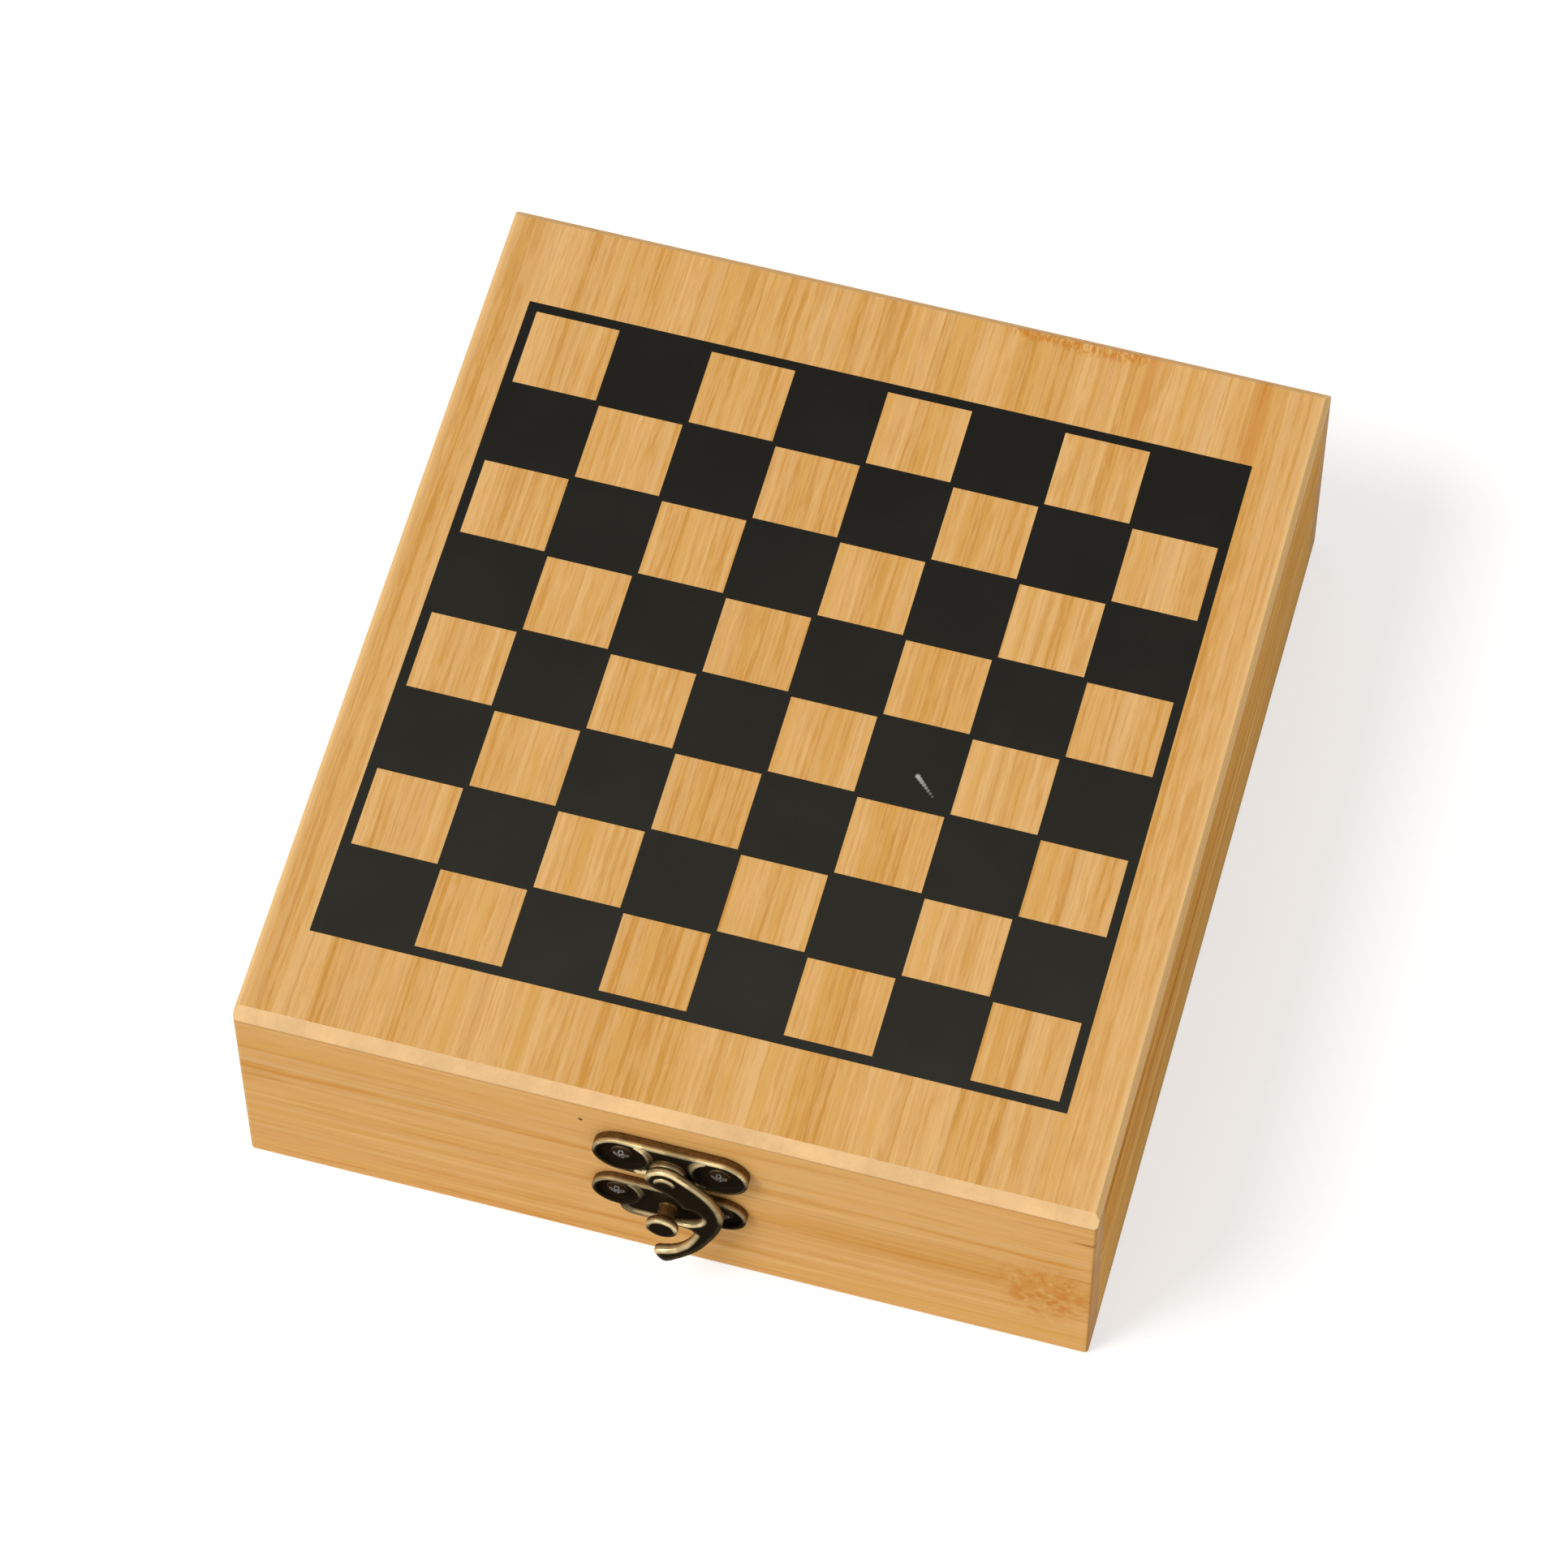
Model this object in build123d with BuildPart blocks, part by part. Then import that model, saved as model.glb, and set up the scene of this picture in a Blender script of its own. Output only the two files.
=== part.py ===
"""Chess box with a hinged lid: a bamboo case whose lid is the board, with a horn latch.

Frame: millimetres, +Z up, the front with the latch faces -Y.
The origin is the centre of the wooden case on its underside.
"""

import os
from math import atan2, cos, degrees, radians, sin

from build123d import *

# ---------------------------------------------------------------- case
case_width = 150.0
case_depth = 170.0
case_height = 50.0
lid_height = 21.2
seam_gap = 0.1
wall = 6.0
panel_thickness = 2.3
panel_end_bevel = 2.0
panel_side_bevel = 0.8
corner_round = 0.7
foot_bevel = 0.5
floor_thickness = 3.0
floor_rebate = 3.0

# ---------------------------------------------------------------- printed board
squares = 8
square_pitch = 16.16
square_line = 0.4
border_line = 1.4
ink_film = 0.06
board_shift_x = -1.0
board_shift_y = -0.3

# ---------------------------------------------------------------- latch
latch_x = 1.5
pivot_plate_shift = 0.3
catch_plate_shift = -0.2
plate_length = 27.3
plate_rim = 0.9
ear_recess = 1.0
field_recess = 0.5
pivot_plate_width = 10.2
pivot_plate_thickness = 2.0
pivot_plate_above_seam = 7.5
pivot_drop = 1.7
pivot_boss_radius = 3.1
pivot_boss_height = 1.2
catch_plate_width = 8.8
catch_plate_thickness = 1.6
catch_plate_below_seam = 7.2
belly_width = 17.4
belly_corner = 2.6
belly_drop = 2.7
post_above_plate = 0.9
post_neck_radius = 1.5
post_foot_radius = 3.2
post_foot_height = 1.5
post_neck_length = 2.45
post_head_radius = 2.8
post_flare = 0.6
post_head_length = 1.3
arm_thickness = 1.4
arm_gap = 0.1
arm_eye_radius = 3.5
arm_sweep = 10.0
arm_reach = 24.7
hook_depth = 1.1
hook_clearance = 0.3
tail_bend_start = 16.5
tail_bend_radius = 21.0
rivet_radius = 1.0
rivet_head_radius = 1.9
rivet_head_height = 0.7
rivet_head_slope = 0.9
rivet_tail = 0.2
pivot_fit = 0.05

# ---------------------------------------------------------------- latch screws
latch_screw_radius = 0.8
latch_screw_head_radius = 1.9
latch_screw_head_height = 0.8
latch_screw_length = 5.0
pilot_fit = 0.05
pilot_end_gap = 0.3

# ---------------------------------------------------------------- hinges
hinge_from_side = 29.0
hinge_length = 18.0
leaf_height = 10.5
leaf_thickness = 0.8
leaf_corner = 1.2
barrel_radius = 1.5
barrel_stand_off = 0.3
knuckle_gap = 0.2
pin_radius = 0.7
pin_fit = 0.05
pin_end = 0.35

# ---------------------------------------------------------------- tray and men
liner_thickness = 1.0
tray_thickness = 6.0
tray_fit = 0.5
tray_columns = 4
tray_rows = 8
pocket_fit = 0.8
man_sides = 8
king_foot = 6.2
queen_foot = 6.2
bishop_foot = 5.8
knight_foot = 5.9
rook_foot = 5.9
pawn_foot = 5.3
foot_height = 2.4
foot_taper = 0.3
king_height = 24.0
cross_height = 3.0
cross_width = 2.6
cross_bar = 0.9
queen_height = 25.0
bishop_height = 22.5
knight_height = 21.0
knight_thickness = 4.2
rook_height = 18.5
rook_slot_width = 1.4
rook_slot_depth = 1.5
pawn_height = 17.0

# ---------------------------------------------------------------- derived places
half_w = case_width / 2
half_d = case_depth / 2
seam_z = case_height - lid_height
base_top = seam_z - seam_gap / 2
lid_bottom = seam_z + seam_gap / 2
panel_bottom = case_height - panel_thickness
pin_y = half_d + barrel_radius + barrel_stand_off

pivot_plate_x = latch_x + pivot_plate_shift
catch_plate_x = latch_x + catch_plate_shift
pivot_plate_z = seam_z + pivot_plate_above_seam
catch_plate_z = seam_z - catch_plate_below_seam
pivot_z = pivot_plate_z - pivot_drop
post_z = catch_plate_z + post_above_plate
post_drop = pivot_z - post_z
pivot_ear_x = (plate_length - pivot_plate_width) / 2
catch_ear_x = (plate_length - catch_plate_width) / 2
arm_back = pivot_plate_thickness - field_recess + pivot_boss_height + arm_gap
hinge_x = half_w - hinge_from_side
hinge_places = {"left": -hinge_x, "right": hinge_x}

os.makedirs("parts", exist_ok=True)


def save(piece, label):
    """Names a finished piece and writes it as its own file."""
    piece.label = label
    export_step(piece, f"parts/{label}.step")


# ================================================================ wooden case
def cross_wall(side, low, high, screw_places, rebated):
    """A front (side -1) or back (side +1) wall across the whole width, with pilot holes."""
    outer_face = side * half_d
    middle_y = side * (half_d - wall / 2)
    with BuildPart() as piece:
        with BuildSketch(Plane.XY.offset(low)):
            with Locations((0, middle_y)):
                Rectangle(case_width, wall)
        extrude(amount=high - low)
        outer_posts = piece.edges().filter_by(Axis.Z).filter_by_position(
            Axis.Y, outer_face - 0.01, outer_face + 0.01
        )
        fillet(outer_posts, corner_round)
        if rebated:
            outer_feet = piece.faces().sort_by(Axis.Z)[0].edges().filter_by_position(
                Axis.Y, outer_face - 0.01, outer_face + 0.01
            )
            chamfer(outer_feet, foot_bevel)
            with BuildSketch(Plane.XY):
                with Locations((0, side * (half_d - wall + floor_rebate / 2))):
                    Rectangle(case_width - 2 * wall + 2 * floor_rebate, floor_rebate)
            extrude(amount=floor_thickness, mode=Mode.SUBTRACT)
        for x, z in screw_places:
            with BuildSketch(Plane((x, outer_face, z), z_dir=(0, -side, 0))):
                Circle(latch_screw_radius + pilot_fit)
            extrude(amount=latch_screw_length + pilot_end_gap, mode=Mode.SUBTRACT)
    return piece.part


def side_wall(side, low, high, rebated):
    """A left (side -1) or right (side +1) wall, butted between the front and back walls."""
    with BuildPart() as piece:
        with BuildSketch(Plane.XY.offset(low)):
            with Locations((side * (half_w - wall / 2), 0)):
                Rectangle(wall, case_depth - 2 * wall)
        extrude(amount=high - low)
        if rebated:
            outer_feet = piece.faces().sort_by(Axis.Z)[0].edges().filter_by_position(
                Axis.X, side * half_w - 0.01, side * half_w + 0.01
            )
            chamfer(outer_feet, foot_bevel)
            with BuildSketch(Plane.XY):
                with Locations((side * (half_w - wall + floor_rebate / 2), 0)):
                    Rectangle(floor_rebate, case_depth - 2 * wall)
            extrude(amount=floor_thickness, mode=Mode.SUBTRACT)
    return piece.part


pivot_screw_places = [(pivot_plate_x + s * pivot_ear_x, pivot_plate_z) for s in (-1, 1)]
catch_screw_places = [(catch_plate_x + s * catch_ear_x, catch_plate_z) for s in (-1, 1)]

save(cross_wall(-1, 0, base_top, catch_screw_places, True), "base_front_wall")
save(cross_wall(1, 0, base_top, [], True), "base_back_wall")
save(side_wall(-1, 0, base_top, True), "base_left_wall")
save(side_wall(1, 0, base_top, True), "base_right_wall")

lid_span = (lid_bottom, panel_bottom)
save(cross_wall(-1, *lid_span, pivot_screw_places, False), "lid_front_wall")
save(cross_wall(1, *lid_span, [], False), "lid_back_wall")
save(side_wall(-1, *lid_span, False), "lid_left_wall")
save(side_wall(1, *lid_span, False), "lid_right_wall")

# The floor panel sits flush in the rebates of the four base walls.
with BuildPart() as base_floor:
    with BuildSketch(Plane.XY):
        Rectangle(
            case_width - 2 * wall + 2 * floor_rebate, case_depth - 2 * wall + 2 * floor_rebate
        )
    extrude(amount=floor_thickness)
save(base_floor.part, "base_floor")

# The lid panel is glued on the four lid walls, with a wide bevel across its end grain.
with BuildPart() as lid_top_panel:
    with BuildSketch(Plane.XY.offset(panel_bottom)):
        Rectangle(case_width, case_depth)
    extrude(amount=panel_thickness)
    top_rim = lid_top_panel.faces().sort_by(Axis.Z)[-1].edges()
    chamfer(top_rim.filter_by(Axis.X), panel_end_bevel)
    top_sides = lid_top_panel.faces().sort_by(Axis.Z)[-1].edges().filter_by(Axis.Y)
    chamfer(top_sides, panel_side_bevel)
    fillet(lid_top_panel.edges().filter_by(Axis.Z), corner_round)
save(lid_top_panel.part, "lid_top_panel")

# One ink film: the board's outer square with every light square left open.
board_size = squares * square_pitch
light_places = [
    (
        (column + 0.5) * square_pitch - board_size / 2,
        board_size / 2 - (row + 0.5) * square_pitch,
    )
    for row in range(squares)
    for column in range(squares)
    if (row + column) % 2 == 0
]
with BuildPart() as board_print:
    with BuildSketch(Plane((board_shift_x, board_shift_y, case_height))):
        Rectangle(board_size + 2 * border_line, board_size + 2 * border_line)
        with Locations(*light_places):
            light_side = square_pitch - 2 * square_line
            Rectangle(light_side, light_side, mode=Mode.SUBTRACT)
    extrude(amount=ink_film)
save(board_print.part, "board_print")


# ================================================================ latch
def latch_plate(centre_x, centre_z, width, thickness, belly):
    """A cast plate: rounded ends with a rim, two sunk screw seats and a sunk middle field."""
    ear_x = (plate_length - width) / 2
    plane = Plane((centre_x, -half_d, centre_z), x_dir=(1, 0, 0), z_dir=(0, -1, 0))
    with BuildPart() as plate:
        with BuildSketch(plane):
            SlotOverall(plate_length, width)
            if belly:
                with Locations((0, -belly_drop / 2)):
                    RectangleRounded(belly_width, width + belly_drop, belly_corner)
        extrude(amount=thickness)
        with BuildSketch(plane.offset(thickness)):
            with Locations((-ear_x, 0), (ear_x, 0)):
                Circle(width / 2 - plate_rim)
        extrude(amount=-ear_recess, mode=Mode.SUBTRACT)
        with BuildSketch(plane.offset(thickness)):
            SlotOverall(plate_length - 2 * plate_rim, width - 2 * plate_rim)
            if belly:
                with Locations((0, -belly_drop / 2)):
                    RectangleRounded(
                        belly_width - 2 * plate_rim,
                        width + belly_drop - 2 * plate_rim,
                        belly_corner - plate_rim,
                    )
            with Locations((-ear_x, 0), (ear_x, 0)):
                Circle(width / 2, mode=Mode.SUBTRACT)
            with Locations((-plate_length / 2, 0), (plate_length / 2, 0)):
                Rectangle(2 * (plate_length / 2 - ear_x), width, mode=Mode.SUBTRACT)
        extrude(amount=-field_recess, mode=Mode.SUBTRACT)
        with BuildSketch(plane):
            with Locations((-ear_x, 0), (ear_x, 0)):
                Circle(latch_screw_radius + pilot_fit)
        extrude(amount=thickness, mode=Mode.SUBTRACT)
    return plate.part


pivot_plane = Plane((latch_x, -half_d, pivot_z), x_dir=(1, 0, 0), z_dir=(0, -1, 0))
with BuildPart() as latch_pivot_plate:
    add(
        latch_plate(
            pivot_plate_x, pivot_plate_z, pivot_plate_width, pivot_plate_thickness, False
        )
    )
    with BuildSketch(pivot_plane.offset(pivot_plate_thickness - field_recess)):
        Circle(pivot_boss_radius)
    extrude(amount=pivot_boss_height)
    with BuildSketch(pivot_plane):
        Circle(rivet_radius + pivot_fit)
    extrude(amount=arm_back, mode=Mode.SUBTRACT)
save(latch_pivot_plate.part, "latch_pivot_plate")

with BuildPart() as latch_catch_plate:
    add(
        latch_plate(catch_plate_x, catch_plate_z, catch_plate_width, catch_plate_thickness, True)
    )
    # The post is turned about its own axis: foot, neck, flare and head.
    foot_y = catch_plate_thickness - field_recess
    neck_y = foot_y + post_foot_height
    flare_y = neck_y + post_neck_length
    head_y = flare_y + post_flare
    tip_y = head_y + post_head_length
    with BuildSketch(Plane((latch_x, -half_d, post_z), x_dir=(1, 0, 0), z_dir=(0, 0, 1))):
        with BuildLine():
            Polyline(
                (0, -foot_y + field_recess),
                (post_foot_radius, -foot_y + field_recess),
                (post_foot_radius, -foot_y),
                (post_neck_radius, -neck_y),
                (post_neck_radius, -flare_y),
                (post_head_radius, -head_y),
                (post_head_radius, -tip_y),
                (0, -tip_y),
                close=True,
            )
        make_face()
    revolve(axis=Axis((latch_x, -half_d, post_z), (0, 1, 0)))
save(latch_catch_plate.part, "latch_catch_plate")

def on_arm(across, down):
    """A point of the arm's outline, as shares of its sweep and its reach from the rivet."""
    return (across * arm_sweep, -down * arm_reach)


# The arm's outline, with the rivet at the origin and the post straight below it.
hook_top = post_drop + post_neck_radius + hook_clearance
hook_bottom = hook_top + hook_depth
arm_plane = Plane((latch_x, -half_d - arm_back, pivot_z), x_dir=(1, 0, 0), z_dir=(0, -1, 0))
tail_plane = Plane((latch_x, -half_d - arm_back, pivot_z), x_dir=(0, -1, 0), z_dir=(-1, 0, 0))
with BuildPart() as latch_arm:
    with BuildSketch(arm_plane):
        with BuildLine():
            eye_left = (-arm_eye_radius, 0)
            eye_right = (arm_eye_radius * cos(radians(50)), arm_eye_radius * sin(radians(50)))
            ThreePointArc(eye_left, (0, arm_eye_radius), eye_right)
            tail_tip = on_arm(-0.2, 0.972)
            Spline(
                eye_right,
                on_arm(0.79, 0.13),
                on_arm(1.0, 0.421),
                on_arm(0.86, 0.656),
                on_arm(0.56, 0.883),
                on_arm(0.2, 1.0),
                tail_tip,
                tangents=[(sin(radians(50)), -cos(radians(50))), (-0.6, 0.8)],
            )
            heel = on_arm(0.51, 0.688)
            Spline(
                tail_tip,
                on_arm(-0.06, 0.943),
                on_arm(0.15, 0.912),
                on_arm(0.36, 0.832),
                heel,
                tangents=[(0.5, 0.86), (0.3, 0.95)],
            )
            hook_heel_x, hook_top_z = on_arm(0.36, hook_top / arm_reach)
            hook_heel = (hook_heel_x, hook_top_z - 1.18 * hook_depth)
            ThreePointArc(heel, on_arm(0.47, 0.641), hook_heel)
            hook_tip_x = on_arm(-0.04, 0)[0]
            hook_tip_low = (hook_tip_x, -hook_bottom)
            hook_tip_high = (hook_tip_x, -hook_top)
            Line(hook_heel, hook_tip_low)
            ThreePointArc(hook_tip_low, (hook_tip_x - hook_depth / 2, -hook_top - hook_depth / 2),
                          hook_tip_high)
            hook_root = (on_arm(0.3, 0)[0], -hook_top)
            Line(hook_tip_high, hook_root)
            notch_side = on_arm(0.645, 0.42)
            notch_mouth = on_arm(0.31, 0.336)
            ThreePointArc(hook_root, on_arm(0.55, 0.515), notch_side)
            ThreePointArc(notch_side, on_arm(0.53, 0.338), notch_mouth)
            eye_bottom = (-arm_eye_radius * sin(radians(20)), -arm_eye_radius * cos(radians(20)))
            ThreePointArc(notch_mouth, on_arm(0.145, 0.217), eye_bottom)
            ThreePointArc(
                eye_bottom,
                (-arm_eye_radius * cos(radians(35)), -arm_eye_radius * sin(radians(35))),
                eye_left,
            )
        make_face()
    extrude(amount=3 * arm_thickness + 4)
    # The side outline: flat over the plates, then curling out into the finger end.
    bend_angle = 38
    inner_r = tail_bend_radius - arm_thickness
    with BuildSketch(tail_plane):
        with BuildLine():
            flat_top = arm_eye_radius + 1
            bend_z = -tail_bend_start
            back_end = (tail_bend_radius * (1 - cos(radians(bend_angle))),
                        bend_z - tail_bend_radius * sin(radians(bend_angle)))
            front_end = (tail_bend_radius - inner_r * cos(radians(bend_angle)),
                         bend_z - inner_r * sin(radians(bend_angle)))
            half = radians(bend_angle / 2)
            Line((0, flat_top), (0, bend_z))
            ThreePointArc(
                (0, bend_z),
                (tail_bend_radius * (1 - cos(half)), bend_z - tail_bend_radius * sin(half)),
                back_end,
            )
            Line(back_end, front_end)
            ThreePointArc(
                front_end,
                (tail_bend_radius - inner_r * cos(half), bend_z - inner_r * sin(half)),
                (arm_thickness, bend_z),
            )
            Line((arm_thickness, bend_z), (arm_thickness, flat_top))
            Line((arm_thickness, flat_top), (0, flat_top))
        make_face()
    extrude(amount=20, both=True, mode=Mode.INTERSECT)
    with BuildSketch(arm_plane):
        Circle(rivet_radius + pivot_fit)
    extrude(amount=arm_thickness, mode=Mode.SUBTRACT)
save(latch_arm.part, "latch_arm")

# The rivet: shank through the plate and the arm's eye, and a low tapered head in front.
rivet_front = arm_back + arm_thickness + arm_gap
with BuildPart() as latch_rivet:
    with BuildSketch(Plane((latch_x, -half_d, pivot_z), x_dir=(1, 0, 0), z_dir=(0, 0, 1))):
        with BuildLine():
            Polyline(
                (0, -rivet_front - rivet_head_height),
                (0, -rivet_tail),
                (rivet_radius, -rivet_tail),
                (rivet_radius, -rivet_front),
                (rivet_head_radius, -rivet_front),
                (rivet_head_radius - rivet_head_slope, -rivet_front - rivet_head_height),
                close=True,
            )
        make_face()
    revolve(axis=Axis((latch_x, -half_d, pivot_z), (0, 1, 0)))
save(latch_rivet.part, "latch_rivet")


def latch_screws(places, seat):
    """Pan-head screws in a plate's ears, their shanks in the wall's pilot holes."""
    with BuildPart() as group:
        for x, z in places:
            face = Plane((x, -half_d, z), x_dir=(1, 0, 0), z_dir=(0, -1, 0))
            with BuildSketch(face.offset(-latch_screw_length)):
                Circle(latch_screw_radius)
            extrude(amount=latch_screw_length + seat)
            with BuildSketch(face.offset(seat)):
                Circle(latch_screw_head_radius)
            extrude(amount=latch_screw_head_height)
    return group.part


pivot_seat = pivot_plate_thickness - ear_recess
catch_seat = catch_plate_thickness - ear_recess
save(latch_screws(pivot_screw_places, pivot_seat), "pivot_plate_screws")
save(latch_screws(catch_screw_places, catch_seat), "catch_plate_screws")


# ================================================================ hinges
def hinge_leaf(centre_x, up, outer_knuckles):
    """A leaf below (up -1) or above (up +1) the pin, with its own knuckles."""
    knuckle_length = (hinge_length - 2 * knuckle_gap) / 3
    knuckle_step = knuckle_length + knuckle_gap
    own = (-1, 1) if outer_knuckles else (0,)
    others = (0,) if outer_knuckles else (-1, 1)
    barrel_y = pin_y - half_d
    leaf_plane = Plane((centre_x, half_d, seam_z), x_dir=(-1, 0, 0), z_dir=(0, 1, 0))
    with BuildPart() as leaf:
        with BuildSketch(leaf_plane):
            with Locations((0, up * leaf_height / 2)):
                Rectangle(hinge_length, leaf_height)
        extrude(amount=leaf_thickness)
        far_corners = leaf.edges().filter_by(Axis.Y).group_by(Axis.Z)[-1 if up > 0 else 0]
        fillet(far_corners, leaf_corner)
        with BuildSketch(Plane((centre_x, pin_y, seam_z), x_dir=(0, 1, 0), z_dir=(1, 0, 0))):
            Circle(barrel_radius)
        extrude(amount=hinge_length / 2, both=True)
        for place in others:
            with BuildSketch(
                Plane((centre_x + place * knuckle_step, pin_y, seam_z), x_dir=(0, 1, 0),
                      z_dir=(1, 0, 0))
            ):
                reach = barrel_radius + barrel_stand_off
                Rectangle(2 * reach, 2 * reach)
            extrude(amount=knuckle_length / 2 + knuckle_gap, both=True, mode=Mode.SUBTRACT)
        with BuildSketch(Plane((centre_x, pin_y, seam_z), x_dir=(0, 1, 0), z_dir=(1, 0, 0))):
            Circle(pin_radius + pin_fit)
        extrude(amount=hinge_length / 2, both=True, mode=Mode.SUBTRACT)
    return leaf.part


for side_name, centre_x in hinge_places.items():
    save(hinge_leaf(centre_x, -1, True), f"{side_name}_hinge_base_leaf")
    save(hinge_leaf(centre_x, 1, False), f"{side_name}_hinge_lid_leaf")
    with BuildPart() as hinge_pin:
        with BuildSketch(Plane((centre_x, pin_y, seam_z), x_dir=(0, 1, 0), z_dir=(1, 0, 0))):
            Circle(pin_radius)
        extrude(amount=hinge_length / 2 + pin_end, both=True)
    save(hinge_pin.part, f"{side_name}_hinge_pin")


# ================================================================ tray and men
inner_width = case_width - 2 * wall
inner_depth = case_depth - 2 * wall
standing_z = floor_thickness + liner_thickness
with BuildPart() as felt_liner:
    with BuildSketch(Plane.XY.offset(floor_thickness)):
        Rectangle(inner_width - tray_fit, inner_depth - tray_fit)
    extrude(amount=liner_thickness)
save(felt_liner.part, "felt_liner")

# Each army stands in two files of eight: the pieces outside, the pawns inside.
pocket = 2 * (king_foot + pocket_fit)
pitch_x = inner_width / tray_columns
pitch_y = inner_depth / tray_rows
file_xs = [(c - (tray_columns - 1) / 2) * pitch_x for c in range(tray_columns)]
rank_ys = [(r - (tray_rows - 1) / 2) * pitch_y for r in range(tray_rows)]
with BuildPart() as men_tray:
    with BuildSketch(Plane.XY.offset(standing_z)):
        Rectangle(inner_width - 2 * tray_fit, inner_depth - 2 * tray_fit)
        with GridLocations(pitch_x, pitch_y, tray_columns, tray_rows):
            Rectangle(pocket, pocket, mode=Mode.SUBTRACT)
    extrude(amount=tray_thickness)
save(men_tray.part, "men_tray")


def turned(cuts):
    """A man's body in many flats, from a list of radius and height, foot first."""
    with BuildPart() as body:
        for (low_radius, low), (high_radius, high) in zip(cuts, cuts[1:]):
            slope = degrees(atan2(abs(low_radius - high_radius), high - low))
            with BuildPart(mode=Mode.PRIVATE) as band:
                with BuildSketch(Plane.XY):
                    RegularPolygon(
                        max(low_radius, high_radius), int(man_sides), major_radius=False
                    )
                extrude(amount=high - low, taper=slope)
            if low_radius >= high_radius:
                place = Location((0, 0, low))
            else:
                place = Location((0, 0, high), (180, 0, 0))
            with Locations(place):
                add(band.part)
    return body.part


def foot(radius):
    """The two cuts of a man's foot, which leans in a little."""
    return [(radius, 0), (radius - foot_taper, foot_height)]


def man(foot_radius, height, shares):
    """A foot with the cuts above it, which are shares of the foot's radius and the height."""
    return turned(foot(foot_radius) + [(r * foot_radius, h * height) for r, h in shares])


pawn = man(pawn_foot, pawn_height, [(0.36, 0.58), (0.58, 0.78), (0.25, 1)])
bishop = man(bishop_foot, bishop_height, [(0.36, 0.6), (0.57, 0.76), (0.14, 1)])
queen = man(queen_foot, queen_height, [(0.37, 0.66), (0.68, 0.9), (0.24, 1)])

with BuildPart() as rook:
    add(man(rook_foot, rook_height, [(0.49, 0.67), (0.71, 0.77), (0.71, 1)]))
    with BuildSketch(Plane.XY.offset(rook_height)):
        Rectangle(2 * rook_foot, rook_slot_width)
        Rectangle(rook_slot_width, 2 * rook_foot)
    extrude(amount=-rook_slot_depth, mode=Mode.SUBTRACT)

with BuildPart() as king:
    add(man(king_foot, king_height, [(0.39, 0.71), (0.63, 0.92), (0.31, 1)]))
    with BuildSketch(Plane.XZ):
        with Locations((0, king_height + cross_height / 2)):
            Rectangle(cross_bar, cross_height)
            Rectangle(cross_width, cross_bar)
    extrude(amount=cross_bar / 2, both=True)

# The knight's head and neck in side view, facing the front of the box.
knight_outline = [
    (0.61, 0.22), (0.66, 0.48), (0.47, 0.78), (0.03, 0.91), (-0.12, 1), (-0.39, 0.87),
    (-0.88, 0.66), (-0.81, 0.57), (-0.2, 0.6), (-0.54, 0.4), (-0.58, 0.22),
]
with BuildPart() as knight:
    add(man(knight_foot, knight_height, [(0.66, 0.22)]))
    with BuildSketch(Plane.YZ):
        with BuildLine():
            Polyline(*[(y * knight_foot, z * knight_height) for y, z in knight_outline],
                     close=True)
        make_face()
    extrude(amount=knight_thickness / 2, both=True)


def stand(body, places, label):
    """Stands copies of a man in their pockets, as one node."""
    with BuildPart() as group:
        with Locations(*[(x, y, standing_z) for x, y in places]):
            add(body)
    save(group.part, label)


for colour, side in (("light", -1), ("dark", 1)):
    pieces_x = side * file_xs[3]
    pawns_x = side * file_xs[2]
    stand(rook.part, [(pieces_x, y) for y in (rank_ys[0], rank_ys[7])], f"{colour}_rooks")
    stand(knight.part, [(pieces_x, y) for y in (rank_ys[1], rank_ys[6])], f"{colour}_knights")
    stand(bishop, [(pieces_x, y) for y in (rank_ys[2], rank_ys[5])], f"{colour}_bishops")
    stand(queen, [(pieces_x, rank_ys[3])], f"{colour}_queen")
    stand(king.part, [(pieces_x, rank_ys[4])], f"{colour}_king")
    stand(pawn, [(pawns_x, y) for y in rank_ys], f"{colour}_pawns")
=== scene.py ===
"""Dresses the chess box: bamboo case with a printed board, horn latch, hinges, felt, tray and men.

Every length in this file is in metres unless its name ends in _mm, and +Z is up.
The case stands on z = 0 with the latch towards -Y, in the same frame as the solids.
"""

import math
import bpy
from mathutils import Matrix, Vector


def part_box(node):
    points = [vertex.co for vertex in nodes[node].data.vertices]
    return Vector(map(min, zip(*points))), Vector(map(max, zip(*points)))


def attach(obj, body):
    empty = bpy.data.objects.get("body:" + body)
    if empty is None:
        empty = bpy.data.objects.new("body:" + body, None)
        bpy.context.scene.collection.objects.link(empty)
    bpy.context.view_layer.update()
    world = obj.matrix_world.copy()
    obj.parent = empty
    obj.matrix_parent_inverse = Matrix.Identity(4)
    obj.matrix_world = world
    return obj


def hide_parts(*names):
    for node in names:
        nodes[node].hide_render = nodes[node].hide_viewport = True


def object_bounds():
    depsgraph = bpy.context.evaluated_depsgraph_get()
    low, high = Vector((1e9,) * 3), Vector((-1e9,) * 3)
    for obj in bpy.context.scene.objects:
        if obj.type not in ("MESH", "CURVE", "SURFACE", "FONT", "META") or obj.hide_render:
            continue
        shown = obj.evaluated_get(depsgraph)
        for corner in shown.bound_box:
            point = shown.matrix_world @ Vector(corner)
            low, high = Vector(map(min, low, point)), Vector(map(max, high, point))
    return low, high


bl_info = {
    "name": "Chess Box",
    "version": (1, 0, 0),
    "blender": (4, 5, 0),
    "location": "View3D > Sidebar > Chess Box",
    "description": "Dresses a bamboo chess box with a horn latch and turned men",
    "category": "Add Mesh",
}

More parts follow.
